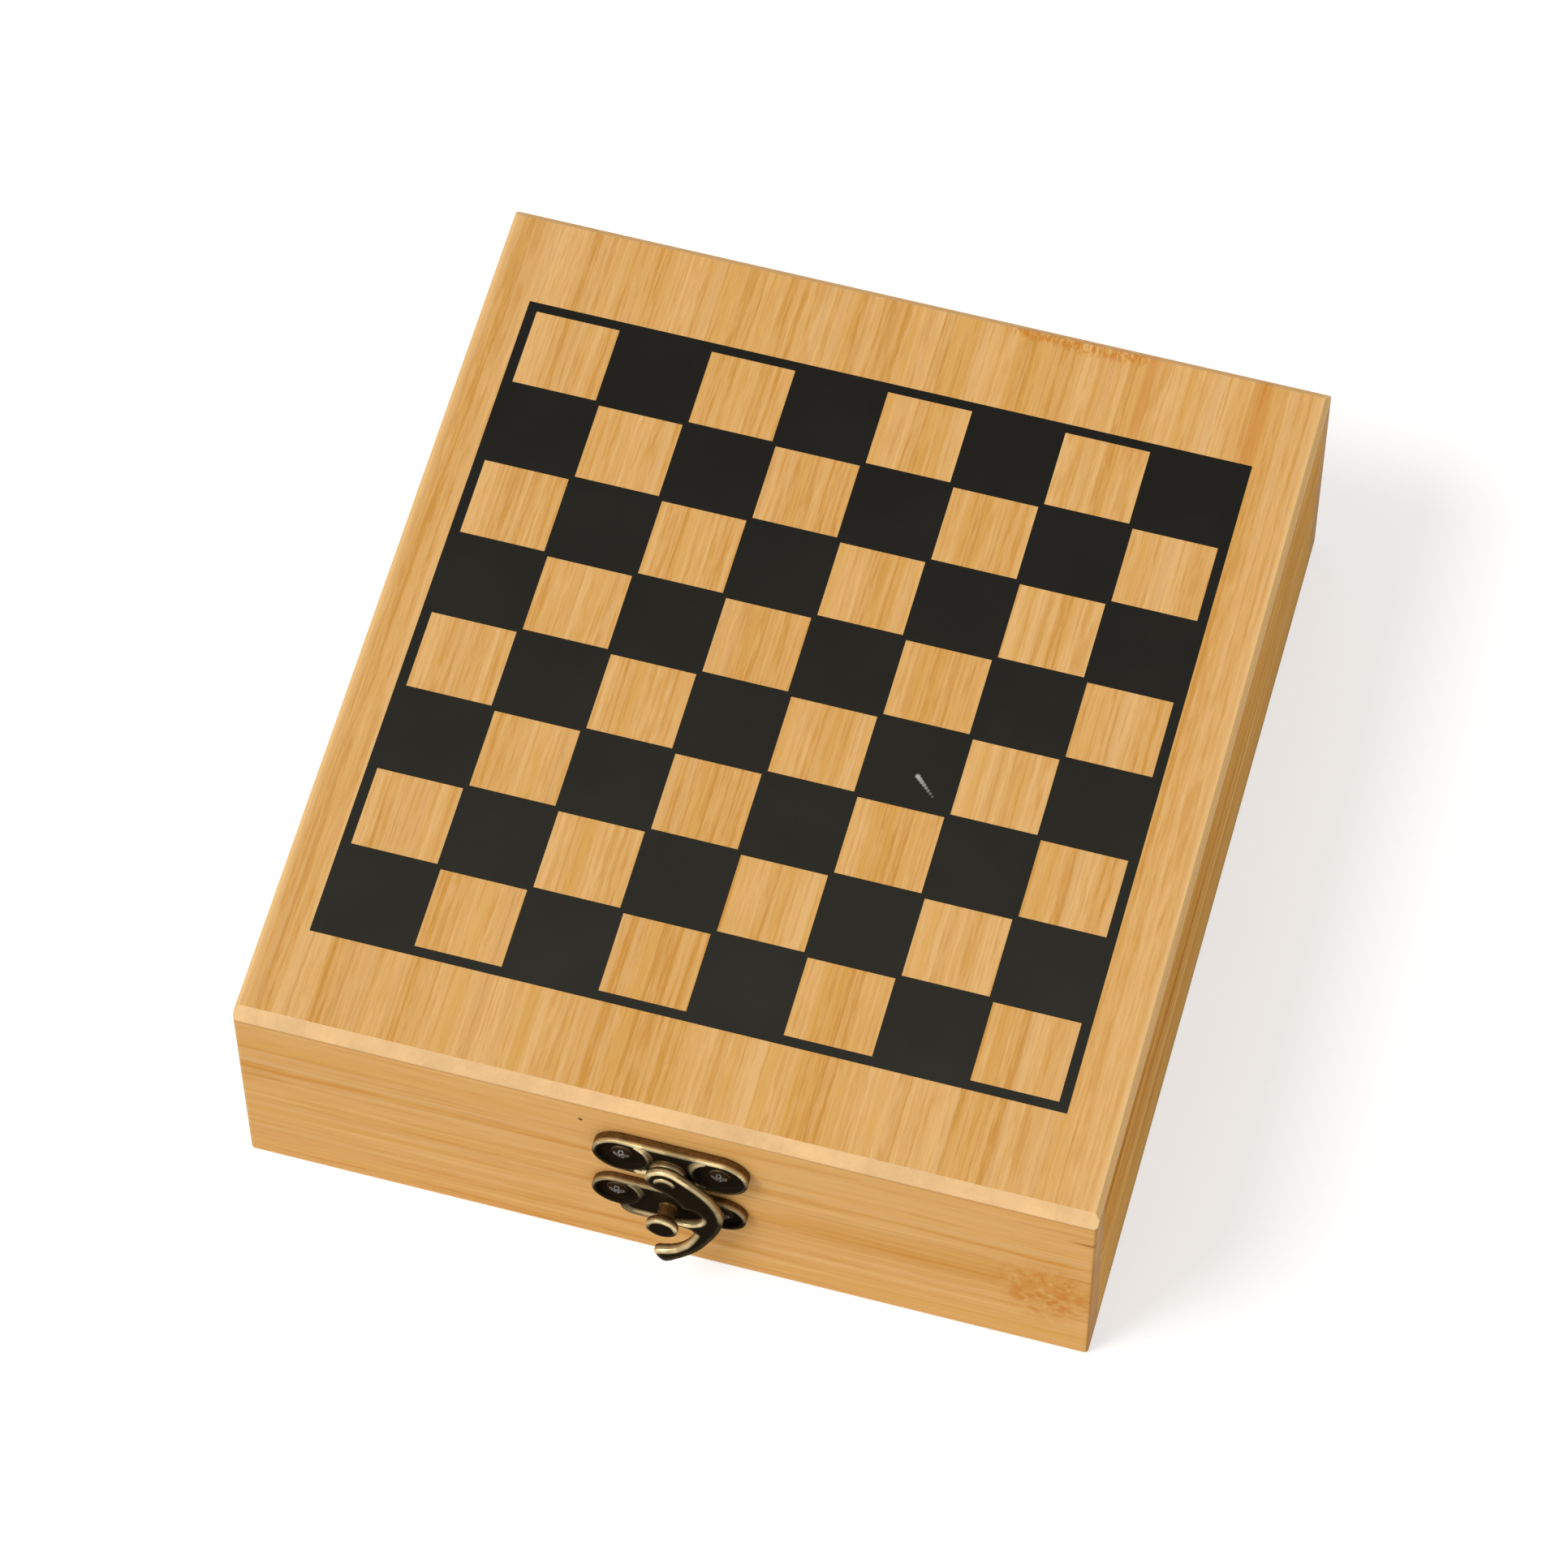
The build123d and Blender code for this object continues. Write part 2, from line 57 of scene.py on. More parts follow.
import bmesh
import bpy
from mathutils import Matrix, Vector
from mathutils.kdtree import KDTree

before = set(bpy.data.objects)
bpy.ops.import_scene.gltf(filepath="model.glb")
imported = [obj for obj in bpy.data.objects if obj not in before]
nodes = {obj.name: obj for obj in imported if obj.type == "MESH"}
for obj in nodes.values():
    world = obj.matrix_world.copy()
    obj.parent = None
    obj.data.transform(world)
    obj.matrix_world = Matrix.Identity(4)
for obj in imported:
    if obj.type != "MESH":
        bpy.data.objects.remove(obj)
solid_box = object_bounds()

MM = 0.001


def paint(red, green, blue):
    """A colour in 8-bit display values as the linear values that shaders take."""
    parts = [value / 255 for value in (red, green, blue)]
    return tuple(p / 12.92 if p <= 0.04045 else ((p + 0.055) / 1.055) ** 2.4 for p in parts)


def tinted(colour, share):
    """A colour made darker by a share below 1 or lighter by one above it."""
    return tuple(min(1.0, c * share) for c in colour)


def colour_property(name, description, *display_colour):
    """A colour swatch for the panel."""
    return bpy.props.FloatVectorProperty(
        name=name, description=description, default=paint(*display_colour), subtype="COLOR",
        size=3, min=0.0, max=1.0,
    )


def number_property(name, description, default, subtype="NONE", **limits):
    """A plain number, an angle in radians or a share for the panel."""
    return bpy.props.FloatProperty(
        name=name, description=description, default=default, subtype=subtype, **limits
    )


def length_property(name, description, default):
    """A length in metres for the panel."""
    return number_property(name, description, default, min=0.0, unit="LENGTH", precision=5)


# -------- settings
class ChessBoxWood(bpy.types.PropertyGroup):
    """Colours and grain of the bamboo case."""

    light: colour_property("Light strips", "Palest bamboo strips", 232, 184, 120)
    middle: colour_property("Bamboo", "Most of the bamboo", 222, 170, 101)
    streak: colour_property("Streaks", "Fibre streaks in the bamboo", 205, 146, 68)
    amber: colour_property("Amber", "Yellower strips", 218, 163, 78)
    pale: colour_property("Pale tint", "Greyer strips between the amber ones", 222, 178, 124)
    bevel: colour_property("Bevel", "Cut ends on the panel's bevel", 250, 205, 147)
    # Partly rub and partly a painted highlight on the rounding of the panel's long edges.
    rubbed_and_highlit_edge: colour_property("Rubbed edge", "Pale long edges of the panel", 240, 200, 142)
    end_grain: colour_property("End grain", "Cut ends of the wall boards", 204, 148, 76)
    side_light: colour_property("Side light", "Palest figure of the side walls", 240, 194, 120)
    side: colour_property("Side walls", "Broad figure of the side walls", 221, 165, 88)
    side_streak: colour_property("Side streaks", "Darker bands of the side walls", 188, 120, 46)
    wall_light: colour_property("Wall light", "Palest figure of the walls", 231, 181, 113)
    wall: colour_property("Walls", "Broad figure of the walls", 222, 168, 97)
    wall_streak: colour_property("Wall streaks", "Darker bands", 207, 142, 58)
    node_mark: colour_property("Node marks", "Brown mottling at a node", 205, 128, 44)
    joint_line: colour_property("Joint line", "Glue line under the lid panel", 168, 112, 52)
    slat_width: length_property("Slat width", "Width of one bamboo strip", 5.2 * MM)
    roughness: number_property("Gloss loss", "Roughness of the clear finish", 0.5, "FACTOR",
                               min=0.0, max=1.0)


class ChessBoxPrint(bpy.types.PropertyGroup):
    """The printed board."""

    ink: colour_property("Ink", "Matt charcoal print", 20, 19, 15)
    fleck: colour_property("Fleck", "A pale hair caught in the print", 206, 204, 196)


class ChessBoxMetal(bpy.types.PropertyGroup):
    """Antique bronze of the latch and the hinges."""

    # Also laid on the faces to the front and back, where it is partly a painted dark reflection.
    patina: colour_property("Patina", "Dark film in the hollows", 33, 26, 17)
    bronze: colour_property("Bronze", "Sides between hollow and rim", 114, 82, 44)
    # Colour of the rims: wear, and on the latch also a painted highlight where the rims face up.
    worn_and_highlight: colour_property("Worn rims", "Brass rubbed bright", 240, 216, 162)
    steel: colour_property("Pin steel", "Drawn wire of the pins", 176, 172, 166)
    # A painted highlight on the edges of the screws' cross recesses.
    painted_glint: colour_property("Glint", "Grey edges of the screws' recesses", 186, 184, 176)
    cast_grid: length_property("Cast grid", "Fineness of the cast skin", 0.14 * MM)
    plate_rim: length_property("Plate rim", "Width rubbed along the plates' edges", 0.75 * MM)
    arm_rim: length_property("Arm rim", "Width rubbed along the arm's edges", 0.95 * MM)


class ChessBoxInside(bpy.types.PropertyGroup):
    """Felt, tray and men."""

    felt: colour_property("Felt", "Liner on the floor", 34, 84, 54)
    ply: colour_property("Tray", "Bare ply of the tray", 222, 192, 146)
    light_men: colour_property("Light men", "Waxed pale wood", 232, 204, 156)
    dark_men: colour_property("Dark men", "Stained wood", 92, 50, 28)


class ChessBoxStage(bpy.types.PropertyGroup):
    """Camera, lamps and floor."""

    azimuth: number_property("Camera azimuth", "Turn from the front", 0.27006, "ANGLE")
    elevation: number_property("Camera elevation", "Height as an angle", 1.049212, "ANGLE")
    roll: number_property("Camera roll", "Turn about the line of sight", -0.0031, "ANGLE")
    distance: length_property("Camera distance", "From the middle of the case", 1.2547)
    focal_length: number_property("Focal length", "On a 36 mm sensor", 164.35, min=10.0)
    key_strength: number_property("Key lamp", "Strength of the sun lamp", 2.0, min=0.0)
    sky_strength: number_property("Sky", "Strength of the even light", 0.48, min=0.0)
    floor: colour_property("Floor", "Pale plain floor", 236, 236, 236)


SETTINGS = {
    "chess_box_wood": ChessBoxWood,
    "chess_box_print": ChessBoxPrint,
    "chess_box_metal": ChessBoxMetal,
    "chess_box_inside": ChessBoxInside,
    "chess_box_stage": ChessBoxStage,
}

AXES = {"X": 0, "Y": 1, "Z": 2}

# The name of the values on a cast mesh that say how bright each point's rim is: wear plus a
# painted highlight on rims that face up.
RIM = "rim"


# -------- shader helpers
def put(tree, kind, inputs=None, **settings):
    """Adds a shader node, sets it up and fills its inputs with values or other sockets."""
    made = tree.nodes.new(f"ShaderNode{kind}")
    for name, value in settings.items():
        setattr(made, name, value)
    for key, value in (inputs or {}).items():
        if isinstance(value, bpy.types.NodeSocket):
            tree.links.new(value, made.inputs[key])
        else:
            made.inputs[key].default_value = value
    return made


def calc(tree, operation, *values, clamp=False):
    """One sum on numbers, as a socket."""
    inputs = dict(enumerate(values))
    return put(tree, "Math", inputs, operation=operation, use_clamp=clamp).outputs[0]


def times(tree, first, second, clamp=False):
    """One number times another, as a socket."""
    return calc(tree, "MULTIPLY", first, second, clamp=clamp)


def blend(tree, factor, first, second):
    """One colour mixed with another, as a socket."""
    inputs = {"Factor": factor}
    for slot_number, value in ((6, first), (7, second)):
        is_socket = isinstance(value, bpy.types.NodeSocket)
        inputs[slot_number] = value if is_socket else (*value, 1.0)
    return put(tree, "Mix", inputs, data_type="RGBA").outputs[2]


def split(tree, vector):
    """The x, y and z of a vector, as sockets."""
    return put(tree, "SeparateXYZ", {0: vector}).outputs


def ramp(tree, value, low, high):
    """0 below low, 1 above high and smooth between them; low may be the larger one."""
    made = put(tree, "MapRange", {"Value": value, "From Min": low, "From Max": high},
               interpolation_type="SMOOTHSTEP")
    return made.outputs["Result"]


def noise(tree, vector, scale, detail=2.0, roughness=0.5, distortion=0.0):
    """Soft noise between 0 and 1."""
    inputs = {"Vector": vector, "Scale": scale, "Detail": detail, "Roughness": roughness,
              "Distortion": distortion}
    return put(tree, "TexNoise", inputs).outputs["Fac"]


def drawn_noise(tree, parts, scales, detail=2.0, roughness=0.5, distortion=0.0):
    """Noise drawn out along the grain: each part of the vector has a scale of its own."""
    scaled = [times(tree, part, scale) for part, scale in zip(parts, scales)]
    vector = put(tree, "CombineXYZ", dict(enumerate(scaled))).outputs[0]
    return noise(tree, vector, 1.0, detail, roughness, distortion)


def sums(tree, operation, first, second=None):
    """One sum on vectors, as its node."""
    inputs = {0: first} if second is None else {0: first, 1: second}
    return put(tree, "VectorMath", inputs, operation=operation)


def spot(tree, place, centre, reach):
    """1 at a point of the object and 0 outside an ellipsoid round it, all in millimetres."""
    shifted = sums(tree, "SUBTRACT", place, centre).outputs[0]
    length = sums(tree, "LENGTH", sums(tree, "DIVIDE", shifted, reach).outputs[0])
    return ramp(tree, length.outputs["Value"], 1.0, 0.3)


def new_group(name, inputs, outputs):
    """An empty shader node group with named sockets."""
    tree = bpy.data.node_groups.new(name, "ShaderNodeTree")
    for label, kind, default in inputs:
        socket = tree.interface.new_socket(label, in_out="INPUT", socket_type=kind)
        if default is not None:
            socket.default_value = default
    for label, kind in outputs:
        tree.interface.new_socket(label, in_out="OUTPUT", socket_type=kind)
    return tree, tree.nodes.new("NodeGroupInput"), tree.nodes.new("NodeGroupOutput")


def bamboo_grain_group():
    """Strips, streaks and fibres of laminated bamboo; its vector is across, along, depth."""
    name = "Bamboo grain"
    if name in bpy.data.node_groups:
        return bpy.data.node_groups[name]
    tree, given, out = new_group(
        name,
        [("Vector", "NodeSocketVector", None), ("Slat Width", "NodeSocketFloat", 5.2),
         ("Fineness", "NodeSocketFloat", 1.0)],
        [(label, "NodeSocketFloat") for label in
         ("Tone", "Amber", "Pale", "Lines", "Fibre", "Slat")],
    )
    across, along, depth = split(tree, given.outputs["Vector"])
    slat_place = calc(tree, "DIVIDE", across, given.outputs["Slat Width"])
    slat_number = calc(tree, "FLOOR", slat_place)
    slat_dice = put(tree, "TexWhiteNoise", {"W": slat_number}, noise_dimensions="1D")
    slat = slat_dice.outputs["Value"]
    layer = calc(tree, "MULTIPLY_ADD", slat, 9.0, depth)
    on_slat = (across, along, layer)
    sway = drawn_noise(tree, on_slat, (0.5, 0.035, 0.5), 1.0)
    ripple = drawn_noise(tree, on_slat, (0.9, 0.30, 1.0))
    wavy = calc(tree, "MULTIPLY_ADD", sway, 0.6, across)
    wavy = calc(tree, "MULTIPLY_ADD", ripple, times(tree, slat, 0.5), wavy)
    fine = times(tree, wavy, given.outputs["Fineness"])
    drawn_out = times(tree, along, given.outputs["Fineness"])
    bands = drawn_noise(tree, (fine, along, depth), (0.16, 0.003, 0.2))
    streaks = drawn_noise(tree, (fine, along, layer), (0.75, 0.007, 0.4), 3.0, 0.65)
    fibres = drawn_noise(tree, (fine, drawn_out, layer), (2.6, 0.14, 1.0), 3.0, 0.65)
    drawn = drawn_noise(tree, (fine, along, layer), (0.62, 0.005, 0.5), 0.0)
    middle_line = calc(tree, "ABSOLUTE", calc(tree, "SUBTRACT", drawn, 0.5))
    breaks = drawn_noise(tree, on_slat, (0.7, 0.12, 1.0))
    lines = times(tree, ramp(tree, middle_line, 0.075, 0.02), ramp(tree, breaks, 0.38, 0.6))
    tone = times(tree, bands, 0.20)
    for part, share in ((streaks, 0.42), (fibres, 0.30), (slat, 0.08)):
        tone = calc(tree, "MULTIPLY_ADD", part, share, tone)
    even = put(tree, "MapRange", {"Value": tone, "From Min": 0.39, "From Max": 0.59})
    amber = drawn_noise(tree, on_slat, (0.33, 0.002, 0.3), 1.0)
    made = {
        "Tone": even.outputs["Result"], "Amber": ramp(tree, amber, 0.52, 0.7),
        "Pale": ramp(tree, amber, 0.46, 0.3), "Lines": lines, "Fibre": fibres, "Slat": slat,
    }
    for label, socket in made.items():
        tree.links.new(socket, out.inputs[label])
    return tree


def edge_wear_and_glint_group():
    """A mask along a piece's convex edges, wide on rims and broken up by noise: wear on the
    hinges, a painted highlight on the screws.
    """
    name = "Edge wear"
    if name in bpy.data.node_groups:
        return bpy.data.node_groups[name]
    tree, given, out = new_group(name, [("Radius", "NodeSocketFloat", 0.4 * MM)],
                                 [("Wear", "NodeSocketFloat"), ("Mottle", "NodeSocketFloat")])
    place = put(tree, "TexCoord").outputs["Object"]
    bevel = put(tree, "Bevel", {"Radius": given.outputs["Radius"]}, samples=6)
    normal = put(tree, "NewGeometry").outputs["Normal"]
    dot = sums(tree, "DOT_PRODUCT", bevel.outputs[0], normal)
    edge = ramp(tree, dot.outputs["Value"], 0.995, 0.86)
    mottle = noise(tree, place, 900.0, 4.0, 0.6)
    wear = times(tree, edge, ramp(tree, mottle, 0.25, 0.5), clamp=True)
    tree.links.new(wear, out.inputs["Wear"])
    tree.links.new(mottle, out.inputs["Mottle"])
    return tree


def use_group(tree, group, inputs):
    """Places a node group in a material and gives its outputs."""
    return put(tree, "Group", inputs, node_tree=group).outputs


def new_material(name):
    """A material with its node tree and its empty Principled shader."""
    material = bpy.data.materials.new(name)
    material.use_nodes = True
    tree = material.node_tree
    return material, tree, tree.nodes["Principled BSDF"]


def object_place_mm(tree):
    """The point's place on the resting object in millimetres, whole and as x, y and z."""
    place = put(tree, "TexCoord").outputs["Object"]
    scale = put(tree, "VectorMath", {0: place, "Scale": 1 / MM}, operation="SCALE")
    return scale.outputs[0], split(tree, scale.outputs[0])


def object_normal(tree):
    """The x, y and z of the surface's direction on the resting object."""
    return split(tree, put(tree, "TexCoord").outputs["Normal"])


def coloured(shader, colour, values=None):
    """Feeds the shader's base colour and sets its plain values."""
    shader.id_data.links.new(colour, shader.inputs["Base Color"])
    for key, value in (values or {}).items():
        shader.inputs[key].default_value = value


def leaning(tree, axis):
    """How squarely a surface faces along an axis, either way, from 0 to 1."""
    return calc(tree, "ABSOLUTE", object_normal(tree)[AXES[axis]])


def bumped(shader, height, strength, distance):
    """Feeds a height to the shader's normal."""
    tree = shader.id_data
    bump = put(tree, "Bump", {"Strength": strength, "Distance": distance, "Height": height})
    tree.links.new(bump.outputs[0], shader.inputs["Normal"])


# -------- wood
# Marks of wear on the closed box, each as its centre and its reach in millimetres.
BACK_EDGE_NICKS = (
    ((22.0, 82.8, 50.0), (7.0, 2.2, 3.0)),
    ((30.0, 82.6, 50.0), (8.0, 2.6, 3.0)),
    ((38.0, 82.6, 50.0), (7.0, 2.6, 3.0)),
)
PANEL_BANDS = (
    ((63.5, 72.0, 50.0), (2.2, 30.0, 5.0)),
    ((43.2, 74.0, 50.0), (1.6, 20.0, 5.0)),
)
WARM_AREA = ((50.0, -85.0, 22.0), (60.0, 8.0, 9.0))
PALE_AREA = ((0.0, -85.0, 39.0), (120.0, 8.0, 12.0))
NODE_AREA = ((67.0, -85.0, 20.0), (11.0, 8.0, 13.0))
CORNER_STREAK = ((74.5, -85.0, 41.4), (5.0, 3.0, 0.6))
PIN_HOLE = ((-14.2, -85.0, 42.4), (0.6, 1.0, 0.6))

# A pale hair caught in the print, drawn as a row of spots that grow thinner.
HAIR_START = Vector((24.5, -10.3, 50.0))
HAIR_END = Vector((27.9, -13.5, 50.0))
HAIR_SPOTS = 8

# Heights in millimetres between which a mark on the walls fades in.
PANEL_JOINT = (47.1, 47.6)
BOTTOM_EDGE = (1.1, 0.5)
SIDE_FOOT = (16.0, 3.0)

# How far in from the panel's long edges the pale strip reaches, in millimetres; it is rub plus a
# painted highlight.
PALE_EDGE_FROM, PALE_EDGE_TO = 2.2, 0.9


def bamboo_material(name, along, across, depth, tones, cut_end, broad=False):
    """Laminated bamboo with its grain along one axis; broad is the flat-sawn figure of walls.

    The tones are its palest strips, its middle and its streaks.
    """
    wood = bpy.context.scene.chess_box_wood
    light, middle, streak = tones
    material, tree, shader = new_material(name)
    place, xyz = object_place_mm(tree)
    turned = {slot: xyz[AXES[axis]] for slot, axis in enumerate((across, along, depth))}
    grain = use_group(tree, bamboo_grain_group(), {
        "Vector": put(tree, "CombineXYZ", turned).outputs[0],
        "Slat Width": wood.slat_width / MM * (5.0 if broad else 1.0),
        "Fineness": 0.4 if broad else 1.0,
    })
    tone = grain["Tone"]
    spread = 0.1 if broad else 0.05
    base = blend(tree, ramp(tree, tone, -spread, 0.5), streak, middle)
    base = blend(tree, ramp(tree, tone, 0.45, 1.0 + spread), base, light)
    for label, strength, colour in (("Amber", 0.5, wood.amber), ("Pale", 0.45, wood.pale),
                                    ("Lines", 0.2 if broad else 0.5, streak)):
        base = blend(tree, times(tree, grain[label], strength), base, colour)
    end_mask = ramp(tree, leaning(tree, along), 0.45, 0.65)
    pores = noise(tree, place, 1.2, 4.0, 0.7)
    patches = noise(tree, place, 0.16, 2.0, 0.5)
    blocks = calc(tree, "MULTIPLY_ADD", ramp(tree, patches, 0.35, 0.7), 0.3,
                  calc(tree, "MULTIPLY_ADD", grain["Slat"], 0.15,
                       times(tree, pores, 0.45)))
    end_colour = blend(tree, blocks, cut_end, tinted(cut_end, 0.66))
    base = blend(tree, end_mask, base, end_colour)
    coloured(shader, base, {"Roughness": wood.roughness, "Specular IOR Level": 0.04})
    bumped(shader, grain["Fibre"], 0.25, 0.08 * MM)
    return material, tree, shader


def side_slope(tree, low, high):
    """1 where a surface leans to the left or right by a share between low and high."""
    lean, margin = leaning(tree, "X"), 0.1
    return times(tree, ramp(tree, lean, low - margin, low),
                 ramp(tree, lean, high + margin, high))


def add_mark(shader, mask, colour, strength=1.0):
    """Lays one more colour over what already feeds the shader's base colour."""
    tree = shader.id_data
    base = shader.inputs["Base Color"].links[0].from_socket
    coloured(shader, blend(tree, times(tree, mask, strength), base, colour))


def dress(names, material):
    """Gives CAD nodes a material in their own slots."""
    for name in names:
        slots = nodes[name].data.materials
        if len(slots):
            slots[0] = material
        else:
            slots.append(material)


class ChessBoxCase(bpy.types.Operator):
    """Bamboo on the walls, the lid panel and the floor panel"""

    bl_idname = "chess_box.case"
    bl_label = "Case"

    def execute(self, context):
        wood = context.scene.chess_box_wood
        panel, tree, shader = bamboo_material(
            "bamboo_panel", "Y", "X", "Z", (wood.light, wood.middle, wood.streak), wood.bevel
        )
        place, xyz = object_place_mm(tree)
        add_mark(shader, ramp(tree, object_normal(tree)[1], 0.4, 0.6), wood.middle, 0.9)
        half_width = solid_box[1].x / MM
        aside = calc(tree, "ABSOLUTE", xyz[0])
        # A pale strip along the long edges and their rounding: rub plus a painted highlight where
        # the rounding catches the light.
        outermost = ramp(tree, aside, half_width - PALE_EDGE_FROM, half_width - PALE_EDGE_TO)
        rubbed_and_highlit = calc(tree, "MAXIMUM", outermost, side_slope(tree, 0.5, 0.85))
        add_mark(shader, rubbed_and_highlit, wood.rubbed_and_highlit_edge, 0.55)
        crumbs = drawn_noise(tree, xyz, (1.5, 0.5, 1.0), 3.0, 0.6, 0.6)
        dashes = ramp(tree, crumbs, 0.44, 0.56)
        for area in BACK_EDGE_NICKS:
            add_mark(shader, times(tree, spot(tree, place, *area), dashes), wood.node_mark, 0.9)
        for area in PANEL_BANDS:
            add_mark(shader, spot(tree, place, *area), wood.node_mark, 0.5)
        dress(["lid_top_panel", "base_floor"], panel)
        wall_tones = (wood.wall_light, wood.wall, wood.wall_streak)
        front, tree, shader = bamboo_material(
            "bamboo_cross", "X", "Z", "Y", wall_tones, wood.end_grain, broad=True
        )
        place, xyz = object_place_mm(tree)
        add_mark(shader, ramp(tree, xyz[2], *PANEL_JOINT), wood.joint_line, 0.5)
        add_mark(shader, spot(tree, place, *WARM_AREA), wood.wall_streak, 0.35)
        add_mark(shader, spot(tree, place, *PALE_AREA), wood.wall_light, 0.35)
        add_mark(shader, ramp(tree, xyz[2], *BOTTOM_EDGE), wood.wall_light, 0.7)
        blotches = noise(tree, place, 0.42, 3.0, 0.6, 0.5)
        node_area = spot(tree, place, *NODE_AREA)
        add_mark(shader, node_area, wood.wall_streak, 0.4)
        for low, high, colour, strength in ((0.48, 0.6, wood.node_mark, 0.8),
                                            (0.44, 0.34, wood.wall_light, 0.6)):
            flecks = times(tree, node_area, ramp(tree, blotches, low, high))
            add_mark(shader, flecks, colour, strength)
        add_mark(shader, spot(tree, place, *CORNER_STREAK), wood.joint_line, 0.9)
        add_mark(shader, spot(tree, place, *PIN_HOLE), tinted(wood.joint_line, 0.4))
        dress(["base_front_wall", "base_back_wall", "lid_front_wall", "lid_back_wall"], front)
        side_tones = (wood.side_light, wood.side, wood.side_streak)
        side, tree, shader = bamboo_material(
            "bamboo_side", "Y", "Z", "X", side_tones, wood.end_grain, broad=True
        )
        height = object_place_mm(tree)[1][2]
        add_mark(shader, ramp(tree, height, *SIDE_FOOT), wood.side_light, 0.5)
        add_mark(shader, ramp(tree, height, *PANEL_JOINT), wood.joint_line, 0.5)
        shader.inputs["Specular IOR Level"].default_value = 0.0
        dress(["base_left_wall", "base_right_wall", "lid_left_wall", "lid_right_wall"], side)
        return {"FINISHED"}


class ChessBoxBoardPrint(bpy.types.Operator):
    """Matt charcoal ink of the board"""

    bl_idname = "chess_box.board_print"
    bl_label = "Board print"

    def execute(self, context):
        ink_settings = context.scene.chess_box_print
        material, tree, shader = new_material("board_ink")
        place, xyz = object_place_mm(tree)
        grain = use_group(tree, bamboo_grain_group(), {"Vector": place})
        patch = noise(tree, place, 0.06, 3.0, 0.5)
        # Paler towards the front: a painted sheen in place of the front's reflection, with thin
        # ink in random patches.
        thin_ink_and_sheen = calc(tree, "MULTIPLY_ADD", ramp(tree, xyz[1], 80.0, -80.0), 0.8,
                        times(tree, ramp(tree, patch, 0.3, 0.8), 0.2))
        base = blend(tree, thin_ink_and_sheen, ink_settings.ink, tinted(ink_settings.ink, 3.6))
        coloured(shader, base, {"Roughness": 0.62, "Specular IOR Level": 0.09})
        for k in range(HAIR_SPOTS):
            share = k / (HAIR_SPOTS - 1)
            width = 0.62 - 0.3 * share
            hair = spot(tree, place, HAIR_START.lerp(HAIR_END, share), (width, width, 3.0))
            add_mark(shader, hair, ink_settings.fleck, 0.7 - 0.5 * share)
        bumped(shader, grain["Fibre"], 0.2, 0.06 * MM)
        dress(["board_print"], material)
        return {"FINISHED"}


# -------- metal
# Bright rims, wear plus a painted highlight, are marked along bends sharper than this, at points
# this far apart.
CAST_EDGE_FROM = math.radians(35)
RIM_STEP = 0.15 * MM

# Shares of the painted highlight and wear on a post's edges, on the lips of the screws' dishes and
# on plate edges.
POST_SHINE, DISH_LIP_SHINE, PLATE_EDGE_SHINE = 1.3, 0.12, 0.6

# A post is what stands this far out from the wall; of a dish's radius, plate edges start at
# the first share, and inside the second one the dish keeps its dark film.
POST_FROM = 4.0 * MM
DISH_SPACE, DISH_FILM = 1.35, 0.97

# Bends sharper than this stay sharp where boxes were cut out.
CUT_EDGE_FROM = math.radians(38)

# Seats of the hinge screws: in from a leaf's edge, aside from its middle and back from the wall.
HINGE_SCREW_IN, HINGE_SCREW_ASIDE, HINGE_SCREW_SEAT = 4.3 * MM, 5.0 * MM, 0.8 * MM
HINGE_SCREW_RADIUS, HINGE_SCREW_HEIGHT = 1.5 * MM, 0.55 * MM


def dome_highlight(tree):
    """A painted highlight: 1 where a turned head's dome faces up and forward."""
    facing = leaning(tree, "Y")
    edge = times(tree, ramp(tree, facing, 0.97, 0.85), ramp(tree, facing, 0.1, 0.4))
    return times(tree, edge, ramp(tree, object_normal(tree)[2], -0.1, 0.5))


